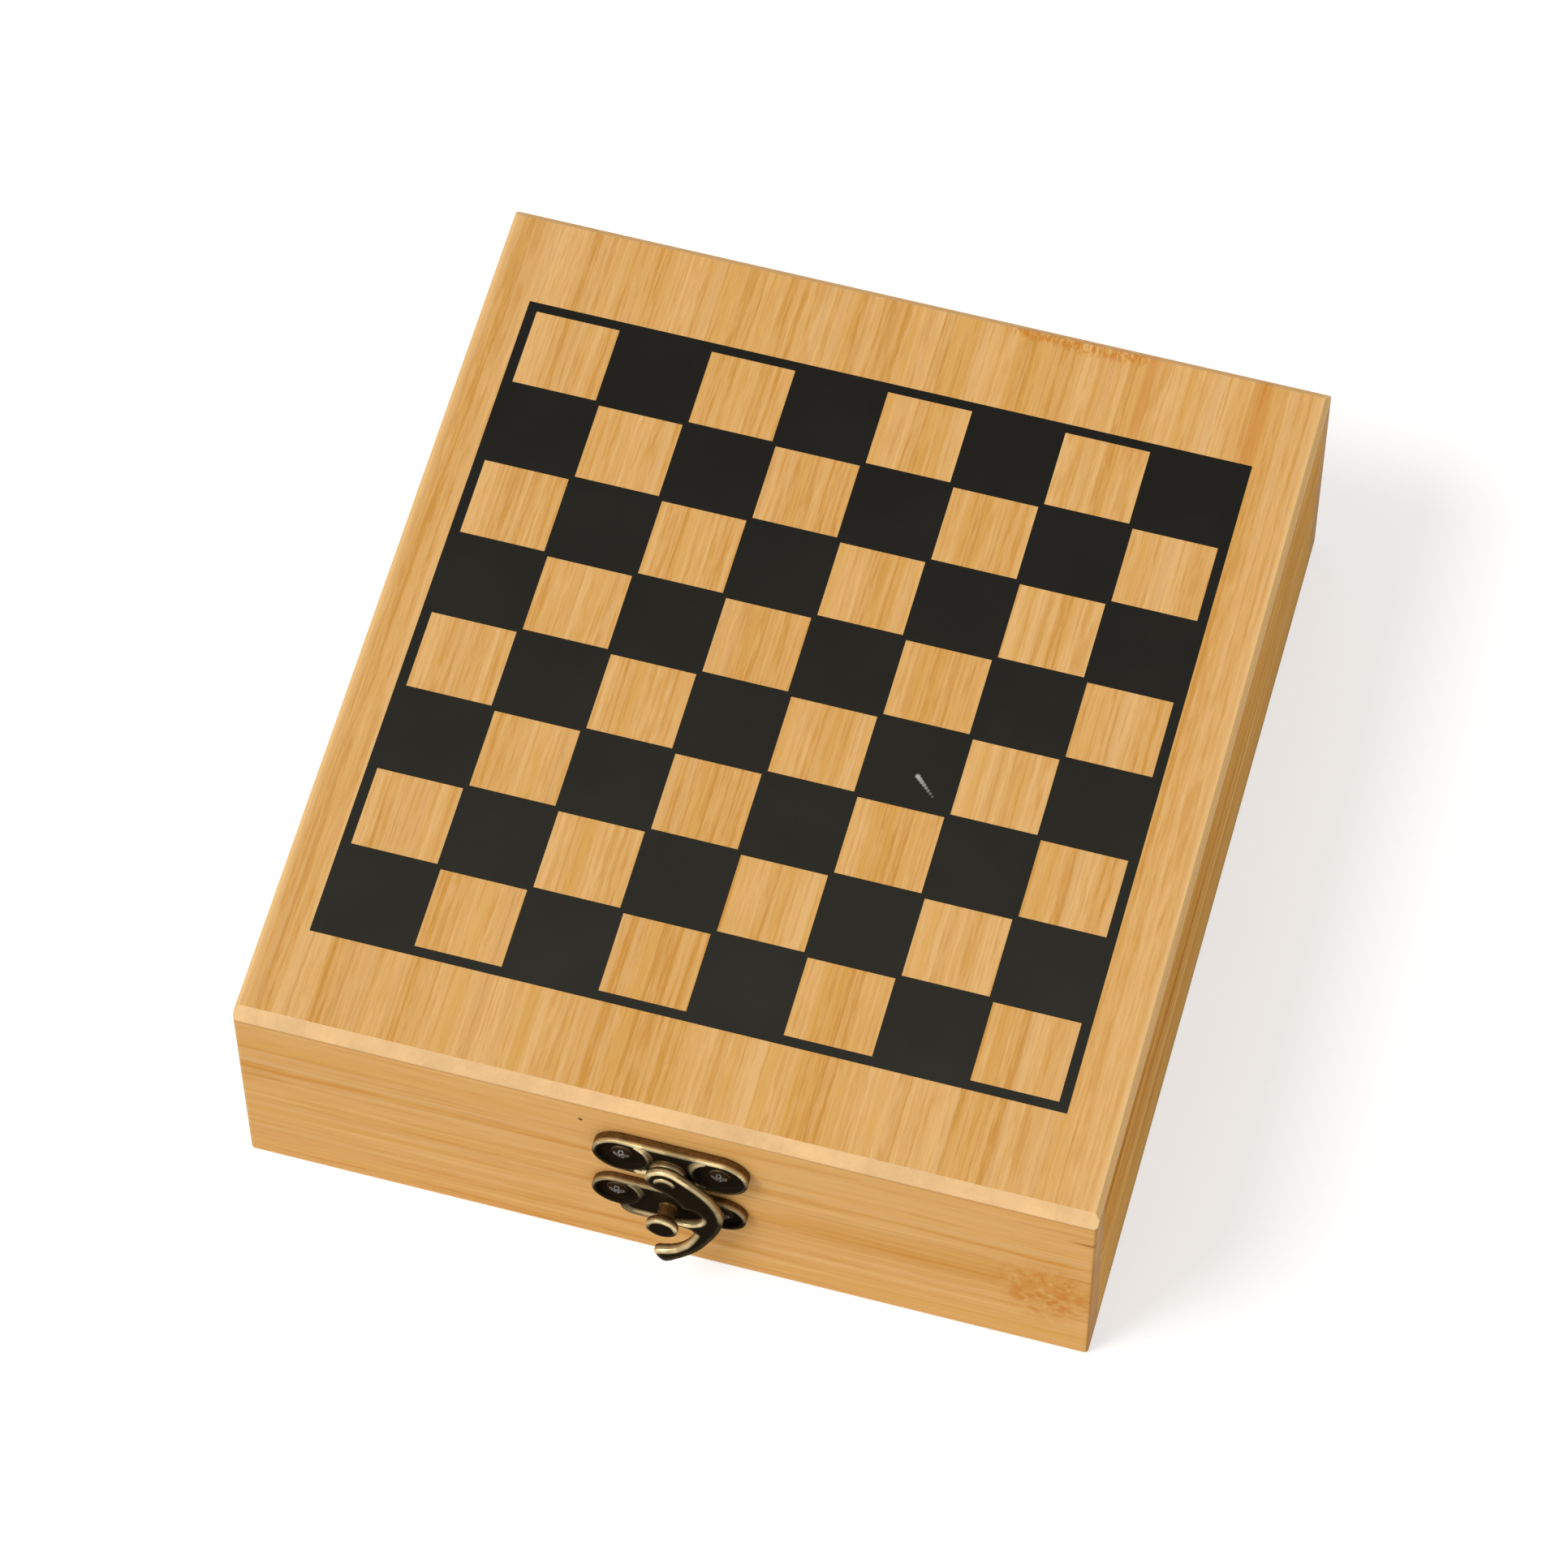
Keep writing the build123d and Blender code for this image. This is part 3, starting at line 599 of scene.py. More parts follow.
def bronze_material(name, rims, worn_and_highlight, rim_strength=1.0, front_dark=1.0):
    """Antique bronze: dark film, brown sides and bright rims, which are wear plus a painted
    highlight.

    The rims are "marked" on the mesh with wear and a painted highlight, "turned" for a painted
    highlight on domed heads or "edges" for plain bends;
    front_dark is how much dark film the faces to the front and back keep: patina plus a painted
    dark reflection.
    """
    metal = bpy.context.scene.chess_box_metal
    material, tree, shader = new_material(name)
    wear = use_group(tree, edge_wear_and_glint_group(), {"Radius": metal.cast_grid * 3})
    # Painted dark reflection: faces to the front and back take the dark film, as well as the
    # patina in the hollows.
    dark = times(tree, ramp(tree, leaning(tree, "Y"), 0.35, 0.75), front_dark)
    # Marked rims: wear plus the painted highlight written on the mesh; inside the dishes the
    # patina of the hollows.
    if rims == "marked":
        mark = put(tree, "Attribute", attribute_name=RIM).outputs["Fac"]
        rubbed_and_highlit = calc(tree, "MAXIMUM", mark, 0.0)
        hollow = times(tree, mark, -1.0, clamp=True)
        dark = calc(tree, "MAXIMUM", dark, hollow)
    elif rims == "turned":
        rubbed_and_highlit = dome_highlight(tree)
    else:
        rubbed_and_highlit = wear["Wear"]
    worn_through = noise(tree, object_place_mm(tree)[0], 0.26, 2.0)
    patches = calc(tree, "MULTIPLY_ADD", ramp(tree, worn_through, 0.4, 0.6), 0.45, 0.55)
    rubbed_and_highlit = times(tree, rubbed_and_highlit, times(tree, patches, rim_strength))
    film = ramp(tree, wear["Mottle"], 0.3, 0.7)
    sides = blend(tree, times(tree, film, 0.5), metal.bronze, metal.patina)
    base = blend(tree, dark, sides, metal.patina)
    coloured(shader, blend(tree, rubbed_and_highlit, base, worn_and_highlight), {"Specular IOR Level": 0.0})
    bare = calc(tree, "MAXIMUM", rubbed_and_highlit, calc(tree, "SUBTRACT", 0.75, dark, clamp=True))
    tree.links.new(bare, shader.inputs["Metallic"])
    rough = calc(tree, "MULTIPLY_ADD", rubbed_and_highlit, -0.18, 0.5)
    tree.links.new(rough, shader.inputs["Roughness"])
    bumped(shader, wear["Mottle"], 0.25, 0.1 * MM)
    return material


def add_object(name, data):
    """A new object in the scene."""
    made = bpy.data.objects.new(name, data)
    bpy.context.scene.collection.objects.link(made)
    return made


def mesh_of(name, bm):
    """A mesh made from a bmesh, which is freed."""
    mesh = bpy.data.meshes.new(name)
    bm.to_mesh(mesh)
    bm.free()
    return mesh


def node_bmesh(node_name):
    """A CAD node's mesh with its shared points joined."""
    bm = bmesh.new()
    bm.from_mesh(nodes[node_name].data)
    bmesh.ops.remove_doubles(bm, verts=bm.verts, dist=1e-6)
    return bm


def smooth(mesh):
    """Shades a mesh smoothly."""
    for face in mesh.polygons:
        face.use_smooth = True


def mesh_piece(name, body, bm, material):
    """Turns a bmesh into a named piece that rides on a body."""
    bm.normal_update()
    mesh = mesh_of(name, bm)
    smooth(mesh)
    mesh.materials.append(material)
    piece = add_object(name, mesh)
    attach(piece, body)
    return piece


def distance_in_dish(point, centre, reach):
    """How far a point lies from the middle of a screw's dish, as a share of its radius."""
    return math.hypot(point.x - centre.x, point.z - centre.z) / reach


def rim_points(node_name, dishes, plate_shine):
    """Points along a cast solid's front edges, each with how bright its rim is: wear plus a
    painted highlight.

    Edges that face up get the brightest painted highlight, the lips of the screws' dishes little,
    and the edges of a plate by plate_shine beside a post that stands on it.
    """
    bm = node_bmesh(node_name)
    bm.normal_update()
    wall_side = max(v.co.y for v in bm.verts)
    points = []
    for edge in bm.edges:
        if len(edge.link_faces) != 2 or edge.calc_face_angle_signed() < CAST_EDGE_FROM:
            continue
        front, wall = sorted(edge.link_faces, key=lambda f: f.normal.y)
        if front.normal.y > -0.5:
            continue
        # Painted highlight: edges whose side faces up are made bright, and those facing down stay
        # dark.
        facing_up = min(1.0, max(0.0, wall.normal.z * 1.4 + 0.05))
        painted_highlight = 0.04 + 0.96 * facing_up
        first, last = (v.co for v in edge.verts)
        steps = max(1, math.ceil((last - first).length / RIM_STEP))
        for k in range(steps + 1):
            point = first.lerp(last, k / steps)
            near = min((distance_in_dish(point, *dish) for dish in dishes), default=1.0)
            if wall_side - point.y > POST_FROM:
                share = POST_SHINE
            elif near < 1.0:
                share = DISH_LIP_SHINE * plate_shine
            else:
                share = plate_shine * (PLATE_EDGE_SHINE if near > DISH_SPACE else 1.0)
            points.append((point, min(1.0, painted_highlight * share)))
    bm.free()
    return points


def mark_rims(piece, node_name, width, dishes, plate_shine):
    """Writes the bright rims of a cast piece, wear plus a painted highlight, on its points, and -1
    inside its dishes.
    """
    points = rim_points(node_name, dishes, plate_shine)
    tree = KDTree(len(points))
    for number, (point, _) in enumerate(points):
        tree.insert(point, number)
    tree.balance()
    shown = piece.data.attributes.new(RIM, "FLOAT", "POINT")
    for vert in piece.data.vertices:
        best = 0.0
        for point, number, distance in tree.find_range(vert.co, width):
            near = 1.0 - distance / width
            best = max(best, min(1.0, near * 2.2) * points[number][1])
        in_dish = any(distance_in_dish(vert.co, *dish) < DISH_FILM for dish in dishes)
        shown.data[vert.index].value = -1.0 if in_dish else best


def keep_shape(piece):
    """Applies a piece's modifiers to its mesh."""
    bpy.context.view_layer.update()
    settled = bpy.data.meshes.new_from_object(
        piece.evaluated_get(bpy.context.evaluated_depsgraph_get())
    )
    piece.modifiers.clear()
    piece.data = settled
    smooth(settled)


def cast_piece(node_name, body, material, smoothing, rim_width, dishes=(), plate_shine=1.0):
    """A latch solid recast with the soft edges of a casting; it replaces its CAD node."""
    piece = mesh_piece(f"{node_name}_cast", body, node_bmesh(node_name), material)
    skin = piece.modifiers.new("skin", "REMESH")
    skin.mode = "VOXEL"
    skin.voxel_size = bpy.context.scene.chess_box_metal.cast_grid
    skin.use_smooth_shade = True
    soft = piece.modifiers.new("soft", "SMOOTH")
    soft.factor = 0.5
    soft.iterations = smoothing
    keep_shape(piece)
    mark_rims(piece, node_name, rim_width, dishes, plate_shine)
    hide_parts(node_name)


def wall_faces(bm, rings):
    """Closes the wall between each ring of points and the next."""
    for first, second in zip(rings, rings[1:]):
        for k in range(len(first)):
            n = (k + 1) % len(first)
            bm.faces.new((first[k], first[n], second[n], second[k]))


def turned_bmesh(cuts, centre, turns=24, along=(0, 0, 1)):
    """A body turned about a direction, from radius and place along it, closed at both ends."""
    bm = bmesh.new()
    tilt = Vector((0, 0, 1)).rotation_difference(Vector(along))
    rings = []
    for radius, place in cuts:
        ring = []
        for k in range(turns):
            angle = 2 * math.pi * k / turns
            local = Vector((radius * math.cos(angle), radius * math.sin(angle), place))
            ring.append(bm.verts.new(Vector(centre) + tilt @ local))
        rings.append(ring)
    wall_faces(bm, rings)
    bm.faces.new(list(reversed(rings[0])))
    bm.faces.new(rings[-1])
    bmesh.ops.recalc_face_normals(bm, faces=bm.faces)
    return bm


def join(target, source):
    """Adds one bmesh to another and frees it."""
    temporary = mesh_of("joined", source)
    target.from_mesh(temporary)
    bpy.data.meshes.remove(temporary)


def cut_boxes(piece, boxes):
    """Cuts boxes, given by centre and size, out of a piece and keeps the result."""
    bm = bmesh.new()
    for centre, size in boxes:
        scale = Matrix.Diagonal((*size, 1.0))
        bmesh.ops.create_cube(bm, size=1.0, matrix=Matrix.Translation(centre) @ scale)
    cutter = add_object("cutter", mesh_of("cutter", bm))
    boolean = piece.modifiers.new("slots", "BOOLEAN")
    boolean.operation = "DIFFERENCE"
    boolean.solver = "MANIFOLD"
    boolean.object = cutter
    keep_shape(piece)
    if not len(piece.data.polygons):
        raise RuntimeError(f"cutting left nothing of {piece.name}")
    piece.data.set_sharp_from_angle(angle=CUT_EDGE_FROM)
    bpy.data.meshes.remove(cutter.data)


def dome_cuts(radius, height, skirt):
    """A domed head, as radius and place: a short straight skirt, then a quarter round."""
    steps = 7
    angles = [math.pi / 2 * k / steps for k in range(1, steps)]
    return [(radius, 0.0), (radius, skirt)] + [
        (radius * math.cos(a), skirt + (height - skirt) * math.sin(a)) for a in angles
    ]


def screw_heads(name, body, places, facing, radius, height, material):
    """Domed screw heads with cross recesses on a wall; facing is -1 in front, +1 behind."""
    group = bmesh.new()
    recesses = []
    for place in places:
        cuts = dome_cuts(radius, height, height * 0.2)
        join(group, turned_bmesh(cuts, place, 28, (0, facing, 0)))
        top = Vector(place) + Vector((0, facing * height, 0))
        narrow, long, deep = radius * 0.3, radius * 1.25, height * 1.1
        recesses += [(top, (long, deep, narrow)), (top, (narrow, deep, long))]
    piece = mesh_piece(name, body, group, material)
    cut_boxes(piece, recesses)
    return piece


def solids_of(node_name):
    """The points of each separate solid in a node."""
    bm = node_bmesh(node_name)
    left = set(bm.verts)
    solids = []
    while left:
        stack = [left.pop()]
        island = []
        while stack:
            vert = stack.pop()
            island.append(vert.co.copy())
            for edge in vert.link_edges:
                other = edge.other_vert(vert)
                if other in left:
                    left.remove(other)
                    stack.append(other)
        solids.append(island)
    bm.free()
    return solids


def across_of(points):
    """The middle of some points along X and Y, and half their width along X."""
    low_x, high_x = min(p.x for p in points), max(p.x for p in points)
    low_y, high_y = min(p.y for p in points), max(p.y for p in points)
    return (low_x + high_x) / 2, (low_y + high_y) / 2, (high_x - low_x) / 2


def head_seats(node_name):
    """Seat, radius and height of each head in a node whose heads face the front."""
    found = []
    for island in solids_of(node_name):
        middle_x, _, radius = across_of(island)
        middle_z = (min(p.z for p in island) + max(p.z for p in island)) / 2
        seat = max(p.y for p in island if abs(p.x - middle_x - radius) < 1e-5)
        height = seat - min(p.y for p in island)
        found.append((Vector((middle_x, seat, middle_z)), radius, height))
    return sorted(found, key=lambda f: f[0].x)


class ChessBoxLatch(bpy.types.Operator):
    """The cast horn latch with its plates, rivet and screws"""

    bl_idname = "chess_box.latch"
    bl_label = "Latch"

    def execute(self, context):
        metal = context.scene.chess_box_metal
        pivot_bronze = bronze_material("antique_bronze", "marked", metal.worn_and_highlight, 0.9)
        catch_bronze = bronze_material("catch_bronze", "marked", metal.worn_and_highlight)
        arm_bronze = bronze_material("arm_bronze", "marked", metal.worn_and_highlight)
        # The rivet's dome carries a painted highlight where it faces up and forward.
        domed = bronze_material("turned_bronze", "turned", metal.worn_and_highlight, 0.6)
        # The screws' recess edges carry a painted highlight instead of wear.
        screws = bronze_material("screw_bronze", "edges", metal.painted_glint, 1.0, 0.9)
        for plate, heads, body, bronze, plate_shine in (
            ("latch_pivot_plate", "pivot_plate_screws", "lid", pivot_bronze, 1.0),
            ("latch_catch_plate", "catch_plate_screws", "base", catch_bronze, 0.6),
        ):
            seats = head_seats(heads)
            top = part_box(plate)[1].z
            dishes = [(seat, 0.9 * (top - seat.z)) for seat, _, _ in seats]
            cast_piece(plate, body, bronze, 8, metal.plate_rim, dishes, plate_shine)
            _, radius, height = seats[0]
            piece = screw_heads(f"{heads}_domed", body, [seat for seat, _, _ in seats], -1,
                                radius, height, screws)
            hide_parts(heads)
        cast_piece("latch_arm", "latch", arm_bronze, 14, metal.arm_rim)
        seat, radius, height = head_seats("latch_rivet")[0]
        group = turned_bmesh(dome_cuts(radius, height, height * 0.15), seat, 32, (0, -1, 0))
        rivet = mesh_piece("latch_rivet_domed", "lid", group, domed)
        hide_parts("latch_rivet")
        return {"FINISHED"}


class ChessBoxHinges(bpy.types.Operator):
    """The two butt hinges behind, their pins and their screws"""

    bl_idname = "chess_box.hinges"
    bl_label = "Hinges"

    def execute(self, context):
        metal = context.scene.chess_box_metal
        leaf_bronze = bronze_material("hinge_bronze", "edges", metal.worn_and_highlight, 0.6, 0.6)
        dress([n for n in nodes if n.endswith("_leaf")], leaf_bronze)
        material, tree, shader = new_material("pin_steel")
        across, along, up = object_place_mm(tree)[1]
        drawn = drawn_noise(tree, (along, across, up), (9.0, 0.4, 9.0), 3.0)
        base = blend(tree, drawn, tinted(metal.steel, 0.6), metal.steel)
        coloured(shader, base, {"Metallic": 1.0, "Roughness": 0.32})
        dress([n for n in nodes if n.endswith("_pin")], material)
        head_bronze = bronze_material("hinge_screw_bronze", "edges", metal.worn_and_highlight, 0.7, 0.5)
        for body in ("base", "lid"):
            places = []
            for side in ("left", "right"):
                low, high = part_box(f"{side}_hinge_{body}_leaf")
                z = high.z - HINGE_SCREW_IN if body == "lid" else low.z + HINGE_SCREW_IN
                for shift in (-HINGE_SCREW_ASIDE, HINGE_SCREW_ASIDE):
                    places.append(((low.x + high.x) / 2 + shift, low.y + HINGE_SCREW_SEAT, z))
            screw_heads(f"{body}_hinge_screws", body, places, 1, HINGE_SCREW_RADIUS,
                        HINGE_SCREW_HEIGHT, head_bronze)
        return {"FINISHED"}


# -------- felt, tray and men
class ChessBoxLining(bpy.types.Operator):
    """Felt on the floor and the ply tray on it"""

    bl_idname = "chess_box.lining"
    bl_label = "Felt and tray"

    def execute(self, context):
        inside = context.scene.chess_box_inside
        felt, tree, shader = new_material("felt")
        place = object_place_mm(tree)[0]
        fuzz = noise(tree, place, 3.2, 5.0, 0.75)
        clumps = noise(tree, place, 0.25, 3.0, 0.6)
        darker = tinted(inside.felt, 0.55)
        base = blend(tree, ramp(tree, fuzz, 0.3, 0.7), darker, inside.felt)
        base = blend(tree, times(tree, clumps, 0.3), base, darker)
        coloured(shader, base, {"Roughness": 0.95, "Sheen Weight": 0.4})
        bumped(shader, fuzz, 0.8, 0.4 * MM)
        dress(["felt_liner"], felt)
        ply, tree, shader = new_material("plain_ply")
        place, xyz = object_place_mm(tree)
        grain = use_group(tree, bamboo_grain_group(),
                          {"Vector": place, "Slat Width": 40.0, "Fineness": 0.7})
        darker = tinted(inside.ply, 0.72)
        base = blend(tree, ramp(tree, grain["Tone"], 0.2, 0.8), darker, inside.ply)
        plies = calc(tree, "FRACT", times(tree, xyz[2], 0.5))
        from_middle = calc(tree, "ABSOLUTE", calc(tree, "SUBTRACT", plies, 0.5))
        upright = ramp(tree, leaning(tree, "Z"), 0.6, 0.3)
        line = times(tree, ramp(tree, from_middle, 0.32, 0.45), upright)
        base = blend(tree, times(tree, line, 0.6), base, darker)
        coloured(shader, base, {"Roughness": 0.7})
        bumped(shader, grain["Fibre"], 0.3, 0.1 * MM)
        dress(["men_tray"], ply)
        return {"FINISHED"}


def turned_wood(name, colour, figure):
    """Close-grained turned wood, its grain up the man; figure is how dark its veins are."""
    material, tree, shader = new_material(name)
    xyz = object_place_mm(tree)[1]
    grain = drawn_noise(tree, xyz, (1.1, 1.1, 0.09), 4.0, 0.6)
    pores = drawn_noise(tree, xyz, (6.0, 6.0, 0.5))
    darker = tinted(colour, figure)
    base = blend(tree, ramp(tree, grain, 0.35, 0.7), darker, colour)
    base = blend(tree, times(tree, ramp(tree, pores, 0.58, 0.72), 0.4), base, darker)
    coloured(shader, base, {"Roughness": 0.38, "Coat Weight": 0.2})
    bumped(shader, pores, 0.15, 0.1 * MM)
    return material


def foot_cuts(radius):
    """The moulded foot of a man, in millimetres: a flange, a hollow and a bead."""
    steps = ((0.35, 0.0), (0.0, 0.0), (0.0, 0.15), (0.0, 1.4), (0.1, 1.7), (0.75, 1.9),
             (0.85, 2.2), (0.6, 2.6), (0.85, 3.2), (1.5, 3.5))
    return [(radius - inset, height) for inset, height in steps]


def collar_cuts(radius, middle):
    """A turned collar, in millimetres, round the neck under a head."""
    steps = ((1.1, -0.5), (0.0, -0.35), (0.0, 0.15), (1.0, 0.4))
    return [(radius - inset, middle + rise) for inset, rise in steps]


# The turned men from foot to top, as radius and height in millimetres. The king's dome
# carries its cross, the rooks' tops are hollow and the knights' feet carry their heads.
MEN_CUTS = {
    "pawns": foot_cuts(5.3) + [(2.6, 6.2), (1.75, 9.0)] + collar_cuts(3.0, 10.2) + [
        (1.7, 10.9), (3.0, 11.9), (3.45, 13.5), (2.9, 15.4), (1.5, 16.7), (0.3, 17.0),
    ],
    "bishops": foot_cuts(5.8) + [(2.9, 7.4), (1.9, 12.2)] + collar_cuts(3.3, 13.4) + [
        (1.9, 14.1), (3.1, 15.4), (3.4, 17.0), (2.7, 19.2), (1.2, 21.0), (0.7, 21.3),
        (1.1, 21.8), (0.8, 22.4), (0.2, 22.5),
    ],
    "queen": foot_cuts(6.2) + [(3.2, 8.0), (2.0, 15.0)] + collar_cuts(3.7, 16.4) + [
        (2.1, 17.1), (2.7, 18.6), (3.6, 21.2), (4.3, 22.8), (4.3, 23.0), (3.6, 23.0),
        (3.0, 22.7), (1.6, 23.3), (0.9, 23.7), (1.4, 24.3), (0.9, 24.9), (0.2, 25.0),
    ],
    "king": foot_cuts(6.2) + [(3.3, 8.2), (2.1, 15.4)] + collar_cuts(3.9, 16.8) + [
        (2.2, 17.5), (2.8, 19.2), (3.5, 21.4), (4.0, 22.5), (3.9, 22.8), (3.0, 23.2),
        (1.5, 23.9), (0.9, 24.1),
    ],
    "rooks": foot_cuts(5.9) + [(3.6, 6.4), (2.95, 11.4)] + [
        (3.3, 12.6), (4.2, 13.4), (4.3, 14.0), (4.25, 14.4), (4.25, 18.35), (4.1, 18.5),
        (3.0, 18.5), (2.85, 18.35), (2.85, 16.9), (0.4, 16.9),
    ],
    "knights": foot_cuts(5.9) + [(4.2, 4.3), (3.4, 4.6), (0.4, 4.6)],
}

# The rooks' crossed slots: their middle's height and their length, width and depth.
SLOT_HEIGHT, SLOT_LENGTH, SLOT_WIDTH, SLOT_DEPTH = 18.15 * MM, 9 * MM, 1.4 * MM, 2.2 * MM

# The outline of a knight's neck and head, looking towards -Y, as y and z in millimetres.
KNIGHT_OUTLINE = (
    (3.3, 3.4), (3.9, 6.5), (4.1, 10.0), (3.6, 13.6), (2.4, 16.6), (0.6, 18.7),
    (-0.2, 20.6), (-1.0, 20.9), (-1.7, 19.2), (-2.7, 17.6), (-3.9, 15.6), (-5.1, 13.8),
    (-5.0, 12.3), (-3.7, 12.0), (-2.2, 12.9), (-1.0, 12.4), (-1.6, 10.6), (-2.9, 8.6),
    (-3.3, 6.0), (-3.3, 3.4),
)
KNIGHT_MIDDLE = Vector((0.2, 11.5))

# Each layer across the head as its x and the share of the outline that it keeps.
KNIGHT_LAYERS = ((-2.1, 0.72), (-1.5, 0.94), (0.0, 1.0), (1.5, 0.94), (2.1, 0.72))


def solid_places(node_name):
    """The middle and foot height of each separate man in a node, in metres."""
    places = []
    for island in solids_of(node_name):
        foot_z = min(c.z for c in island)
        x, y, _ = across_of([c for c in island if c.z < foot_z + 1e-5])
        places.append(Vector((x, y, foot_z)))
    return sorted(places, key=lambda p: (p.x, p.y))


def knight_head():
    """A knight's neck and head, in millimetres about the man's axis."""
    bm = bmesh.new()
    rings = []
    for x, keep in KNIGHT_LAYERS:
        ring = []
        for y, z in KNIGHT_OUTLINE:
            away = Vector((y, z)) - KNIGHT_MIDDLE
            point = KNIGHT_MIDDLE + away * (keep if z > 4 else 1.0)
            ring.append(bm.verts.new((x * (0.75 if z > 18 else 1.0), point.x, point.y)))
        rings.append(ring)
    wall_faces(bm, rings)
    bm.faces.new(rings[0])
    bm.faces.new(list(reversed(rings[-1])))
    bmesh.ops.triangulate(bm, faces=[f for f in bm.faces if len(f.verts) > 4])
    bmesh.ops.recalc_face_normals(bm, faces=bm.faces)
    return bm


def cross_bars():
    """The king's cross, in millimetres about the man's axis."""
    bm = bmesh.new()
    for size, height in (((0.9, 0.9, 3.1), 25.45), ((2.6, 0.9, 0.9), 25.7)):
        matrix = Matrix.Translation((0, 0, height)) @ Matrix.Diagonal((*size, 1.0))
        bar = bmesh.ops.create_cube(bm, size=1.0, matrix=matrix)
        edges = {e for v in bar["verts"] for e in v.link_edges}
        bmesh.ops.bevel(bm, geom=list(edges), offset=0.12, segments=2, profile=0.5, affect="EDGES")
    return bm


def army_of(side, kind, material):
    """All the men of one kind on one side, as one piece that replaces their CAD node."""
    node_name = f"{side}_{kind}"
    places = solid_places(node_name)
    group = bmesh.new()
    for place in places:
        man = turned_bmesh(MEN_CUTS[kind], (0, 0, 0))
        if kind == "knights":
            join(man, knight_head())
        if kind == "king":
            join(man, cross_bars())
        man.transform(Matrix.Translation(place) @ Matrix.Scale(MM, 4))
        join(group, man)
    piece = mesh_piece(f"{node_name}_turned", "base", group, material)
    if kind == "rooks":
        cut_boxes(piece, [
            (place + Vector((0, 0, SLOT_HEIGHT)), (*size, SLOT_DEPTH)) for place in places
            for size in ((SLOT_LENGTH, SLOT_WIDTH), (SLOT_WIDTH, SLOT_LENGTH))
        ])
    else:
        rounding = piece.modifiers.new("rounding", "SUBSURF")
        rounding.levels = rounding.render_levels = 1
    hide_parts(node_name)


class ChessBoxMen(bpy.types.Operator):
    """Both armies of turned men, standing in the tray"""

    bl_idname = "chess_box.men"
    bl_label = "Men"

    def execute(self, context):
        inside = context.scene.chess_box_inside
        for side, colour, figure in (("light", inside.light_men, 0.74),
                                     ("dark", inside.dark_men, 0.55)):
            material = turned_wood(f"{side}_men", colour, figure)
            for kind in MEN_CUTS:
                army_of(side, kind, material)
        return {"FINISHED"}


# -------- stage
FLOOR_REACH, FLOOR_DROP = 6.0, 0.2 * MM

# How pale the floor is to the light that it throws back, and how strongly it glows to the eye.
SHADOW_SHARE, FLOOR_GLOW = 0.6, 0.6

KEY_TOWARDS = Vector((-0.35, -0.28, 0.56))
CASE_MIDDLE = Vector((0.0, 0.0, 25 * MM))

# How far the frame's middle is from the lens's axis, in pixels of a square frame.
IMAGE_SIDE, SHIFT_X, SHIFT_Y = 1932, -14.636, -21.807


def seen_rays(tree):
    """1 on rays by which the camera sees a thing, straight or in glass and metal, else 0."""
    rays = put(tree, "LightPath").outputs
    seen = calc(tree, "MAXIMUM", rays["Is Camera Ray"], rays["Is Glossy Ray"])
    return calc(tree, "MAXIMUM", seen, rays["Is Transmission Ray"])


def stage_floor(stage):
    """A wide pale floor that keeps shadows and looks white where it is lit."""
    bm = bmesh.new()
    bmesh.ops.create_grid(bm, x_segments=8, y_segments=8, size=FLOOR_REACH)
    floor = add_object("floor", mesh_of("floor", bm))
    floor.location.z = -FLOOR_DROP
    material, tree, shader = new_material("floor")
    grit = noise(tree, put(tree, "TexCoord").outputs["Object"], 40.0, 3.0)
    cloth = blend(tree, grit, stage.floor, tinted(stage.floor, 1.03))
    seen = seen_rays(tree)
    base = blend(tree, seen, cloth, tinted(stage.floor, SHADOW_SHARE))
    coloured(shader, base, {"Roughness": 0.9, "Specular IOR Level": 0.0})
    glow = put(tree, "Emission", {"Strength": times(tree, seen, FLOOR_GLOW)})
    both = put(tree, "AddShader", {0: shader.outputs[0], 1: glow.outputs[0]})
    tree.links.new(both.outputs[0], tree.nodes["Material Output"].inputs["Surface"])
    floor.data.materials.append(material)


def stage_light(stage):
    """An even sky and one soft key lamp from the front left."""
    world = bpy.data.worlds.new("sky")
    world.use_nodes = True
    bpy.context.scene.world = world
    tree = world.node_tree
    strength = put(tree, "MapRange",
                   {"Value": seen_rays(tree), "To Min": stage.sky_strength, "To Max": 1.0})
    sky = tree.nodes["Background"]
    sky.inputs["Color"].default_value = (1.0, 1.0, 1.0, 1.0)
    tree.links.new(strength.outputs["Result"], sky.inputs["Strength"])
    lamp = bpy.data.lights.new("key", "SUN")
    lamp.energy = stage.key_strength
    lamp.angle = math.radians(25)
    key = add_object("key", lamp)
    key.rotation_euler = KEY_TOWARDS.normalized().to_track_quat("Z", "Y").to_euler()


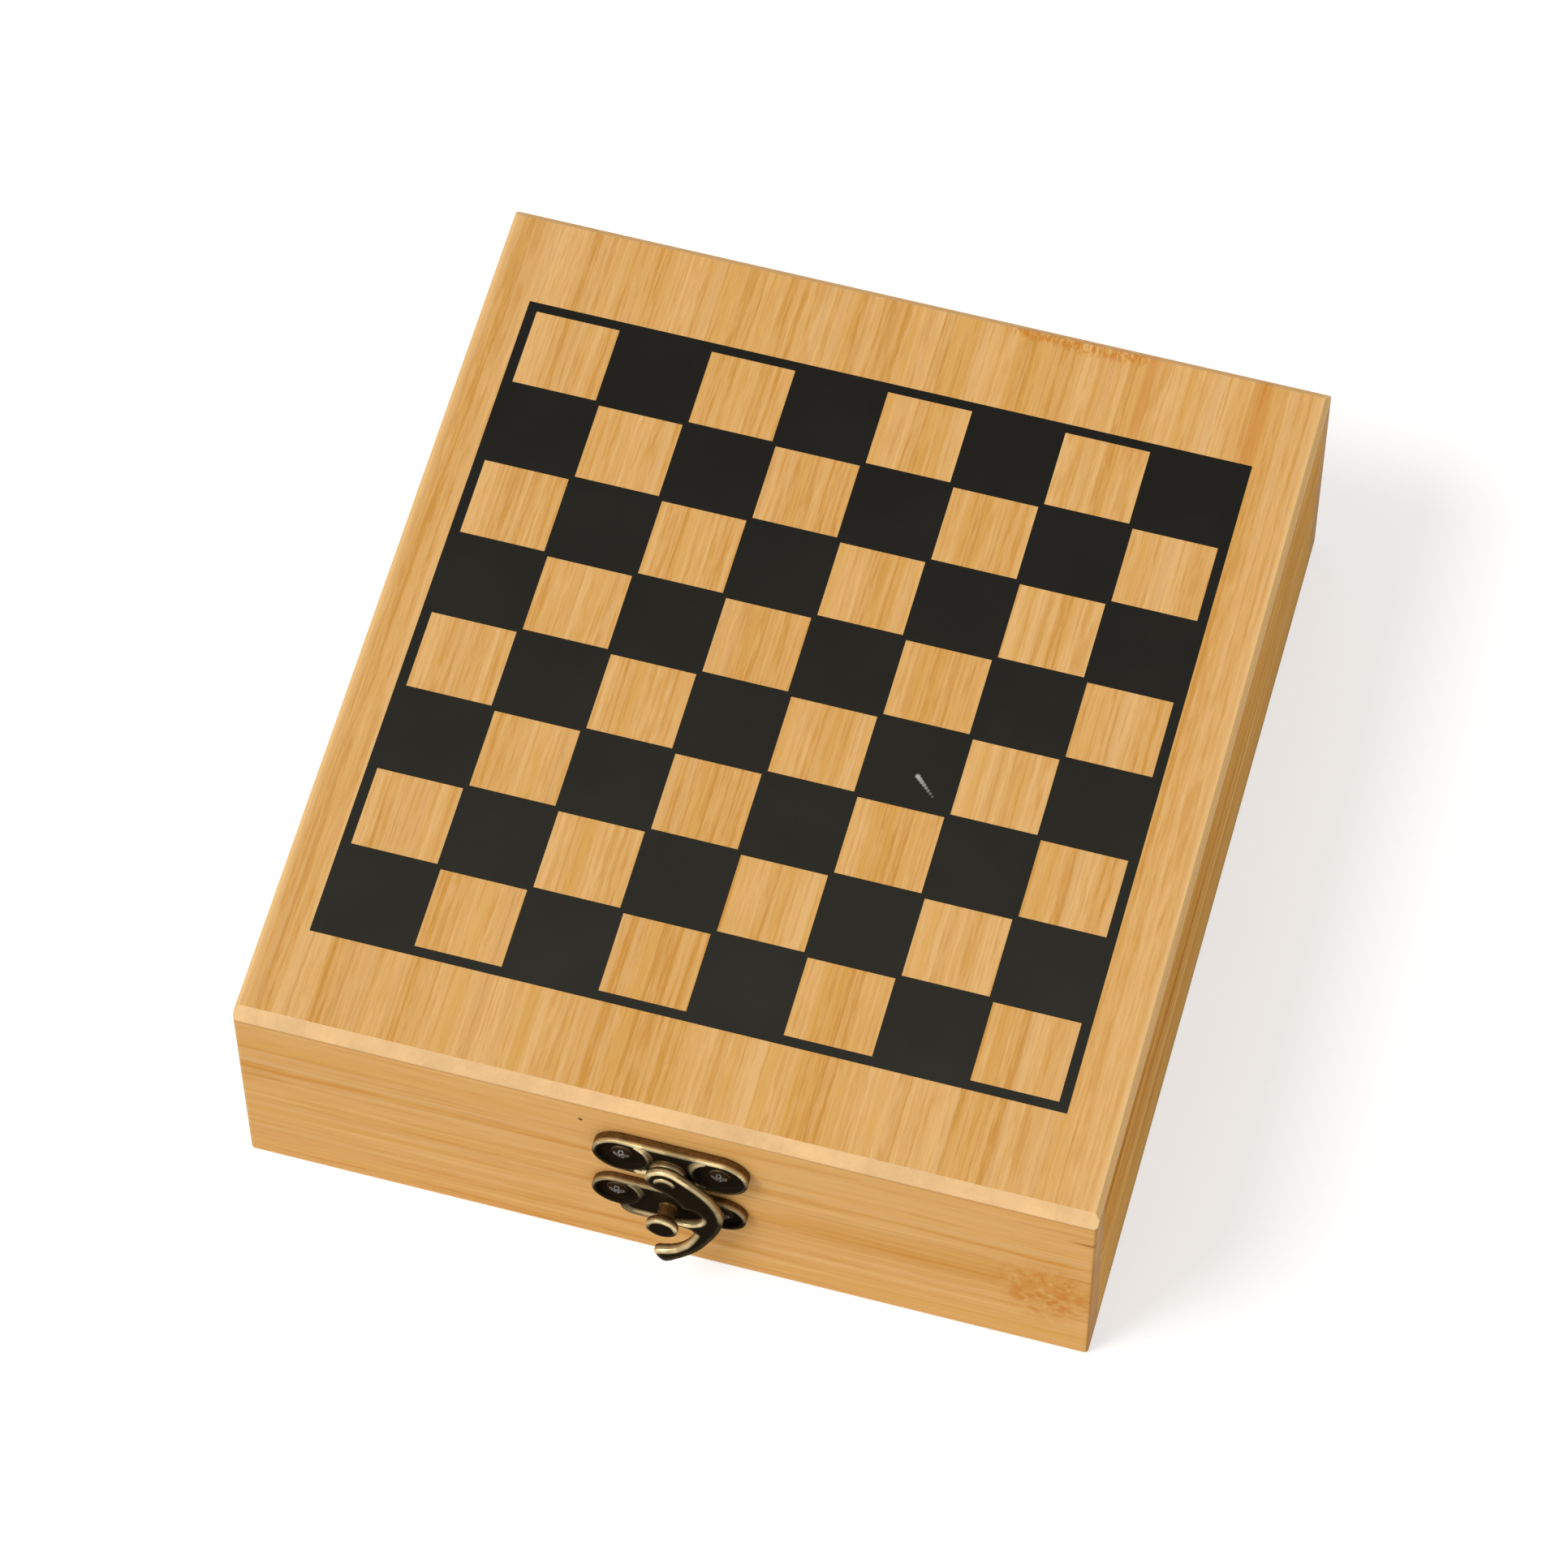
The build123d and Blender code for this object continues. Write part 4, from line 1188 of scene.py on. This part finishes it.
def stage_camera(stage):
    """The camera: a long lens above the front right corner."""
    az, el, roll = stage.azimuth, stage.elevation, stage.roll
    back = Vector((math.sin(az) * math.cos(el), -math.cos(az) * math.cos(el), math.sin(el)))
    level = Vector((math.cos(az), math.sin(az), 0.0))
    upright = back.cross(level)
    right = level * math.cos(roll) + upright * math.sin(roll)
    up = upright * math.cos(roll) - level * math.sin(roll)
    data = bpy.data.cameras.new("camera")
    data.lens = stage.focal_length
    data.sensor_width = 36.0
    data.shift_x, data.shift_y = SHIFT_X / IMAGE_SIDE, SHIFT_Y / IMAGE_SIDE
    data.clip_start, data.clip_end = 0.05, 20.0
    camera = add_object("camera", data)
    turn = Matrix((right, up, back)).transposed().to_4x4()
    camera.matrix_world = Matrix.Translation(CASE_MIDDLE + back * stage.distance) @ turn
    bpy.context.scene.camera = camera


class ChessBoxStageSet(bpy.types.Operator):
    """Floor, lamp, sky and camera"""

    bl_idname = "chess_box.stage"
    bl_label = "Stage"

    def execute(self, context):
        context.scene.view_settings.view_transform = "Standard"
        for part in (stage_floor, stage_light, stage_camera):
            part(context.scene.chess_box_stage)
        return {"FINISHED"}


OPERATORS = (
    ChessBoxStageSet, ChessBoxCase, ChessBoxBoardPrint, ChessBoxLatch, ChessBoxHinges,
    ChessBoxLining, ChessBoxMen,
)


class ChessBoxPanel(bpy.types.Panel):
    """Lists the settings and the pieces of the chess box"""

    bl_idname = "VIEW3D_PT_chess_box"
    bl_label = "Chess Box"
    bl_space_type = "VIEW_3D"
    bl_region_type = "UI"
    bl_category = "Chess Box"

    def draw(self, context):
        for operator in OPERATORS:
            self.layout.operator(operator.bl_idname)
        for name, group in SETTINGS.items():
            box = self.layout.box()
            box.label(text=group.__doc__)
            for prop in group.__annotations__:
                box.prop(getattr(context.scene, name), prop)


CLASSES = (*SETTINGS.values(), *OPERATORS, ChessBoxPanel)


def register():
    for made in CLASSES:
        bpy.utils.register_class(made)
    for name, group in SETTINGS.items():
        setattr(bpy.types.Scene, name, bpy.props.PointerProperty(type=group))


def unregister():
    for name in SETTINGS:
        delattr(bpy.types.Scene, name)
    for made in reversed(CLASSES):
        bpy.utils.unregister_class(made)


def main():
    register()
    for operator in OPERATORS:
        family, name = operator.bl_idname.split(".")
        getattr(getattr(bpy.ops, family), name)()


if __name__ == "__main__":
    main()
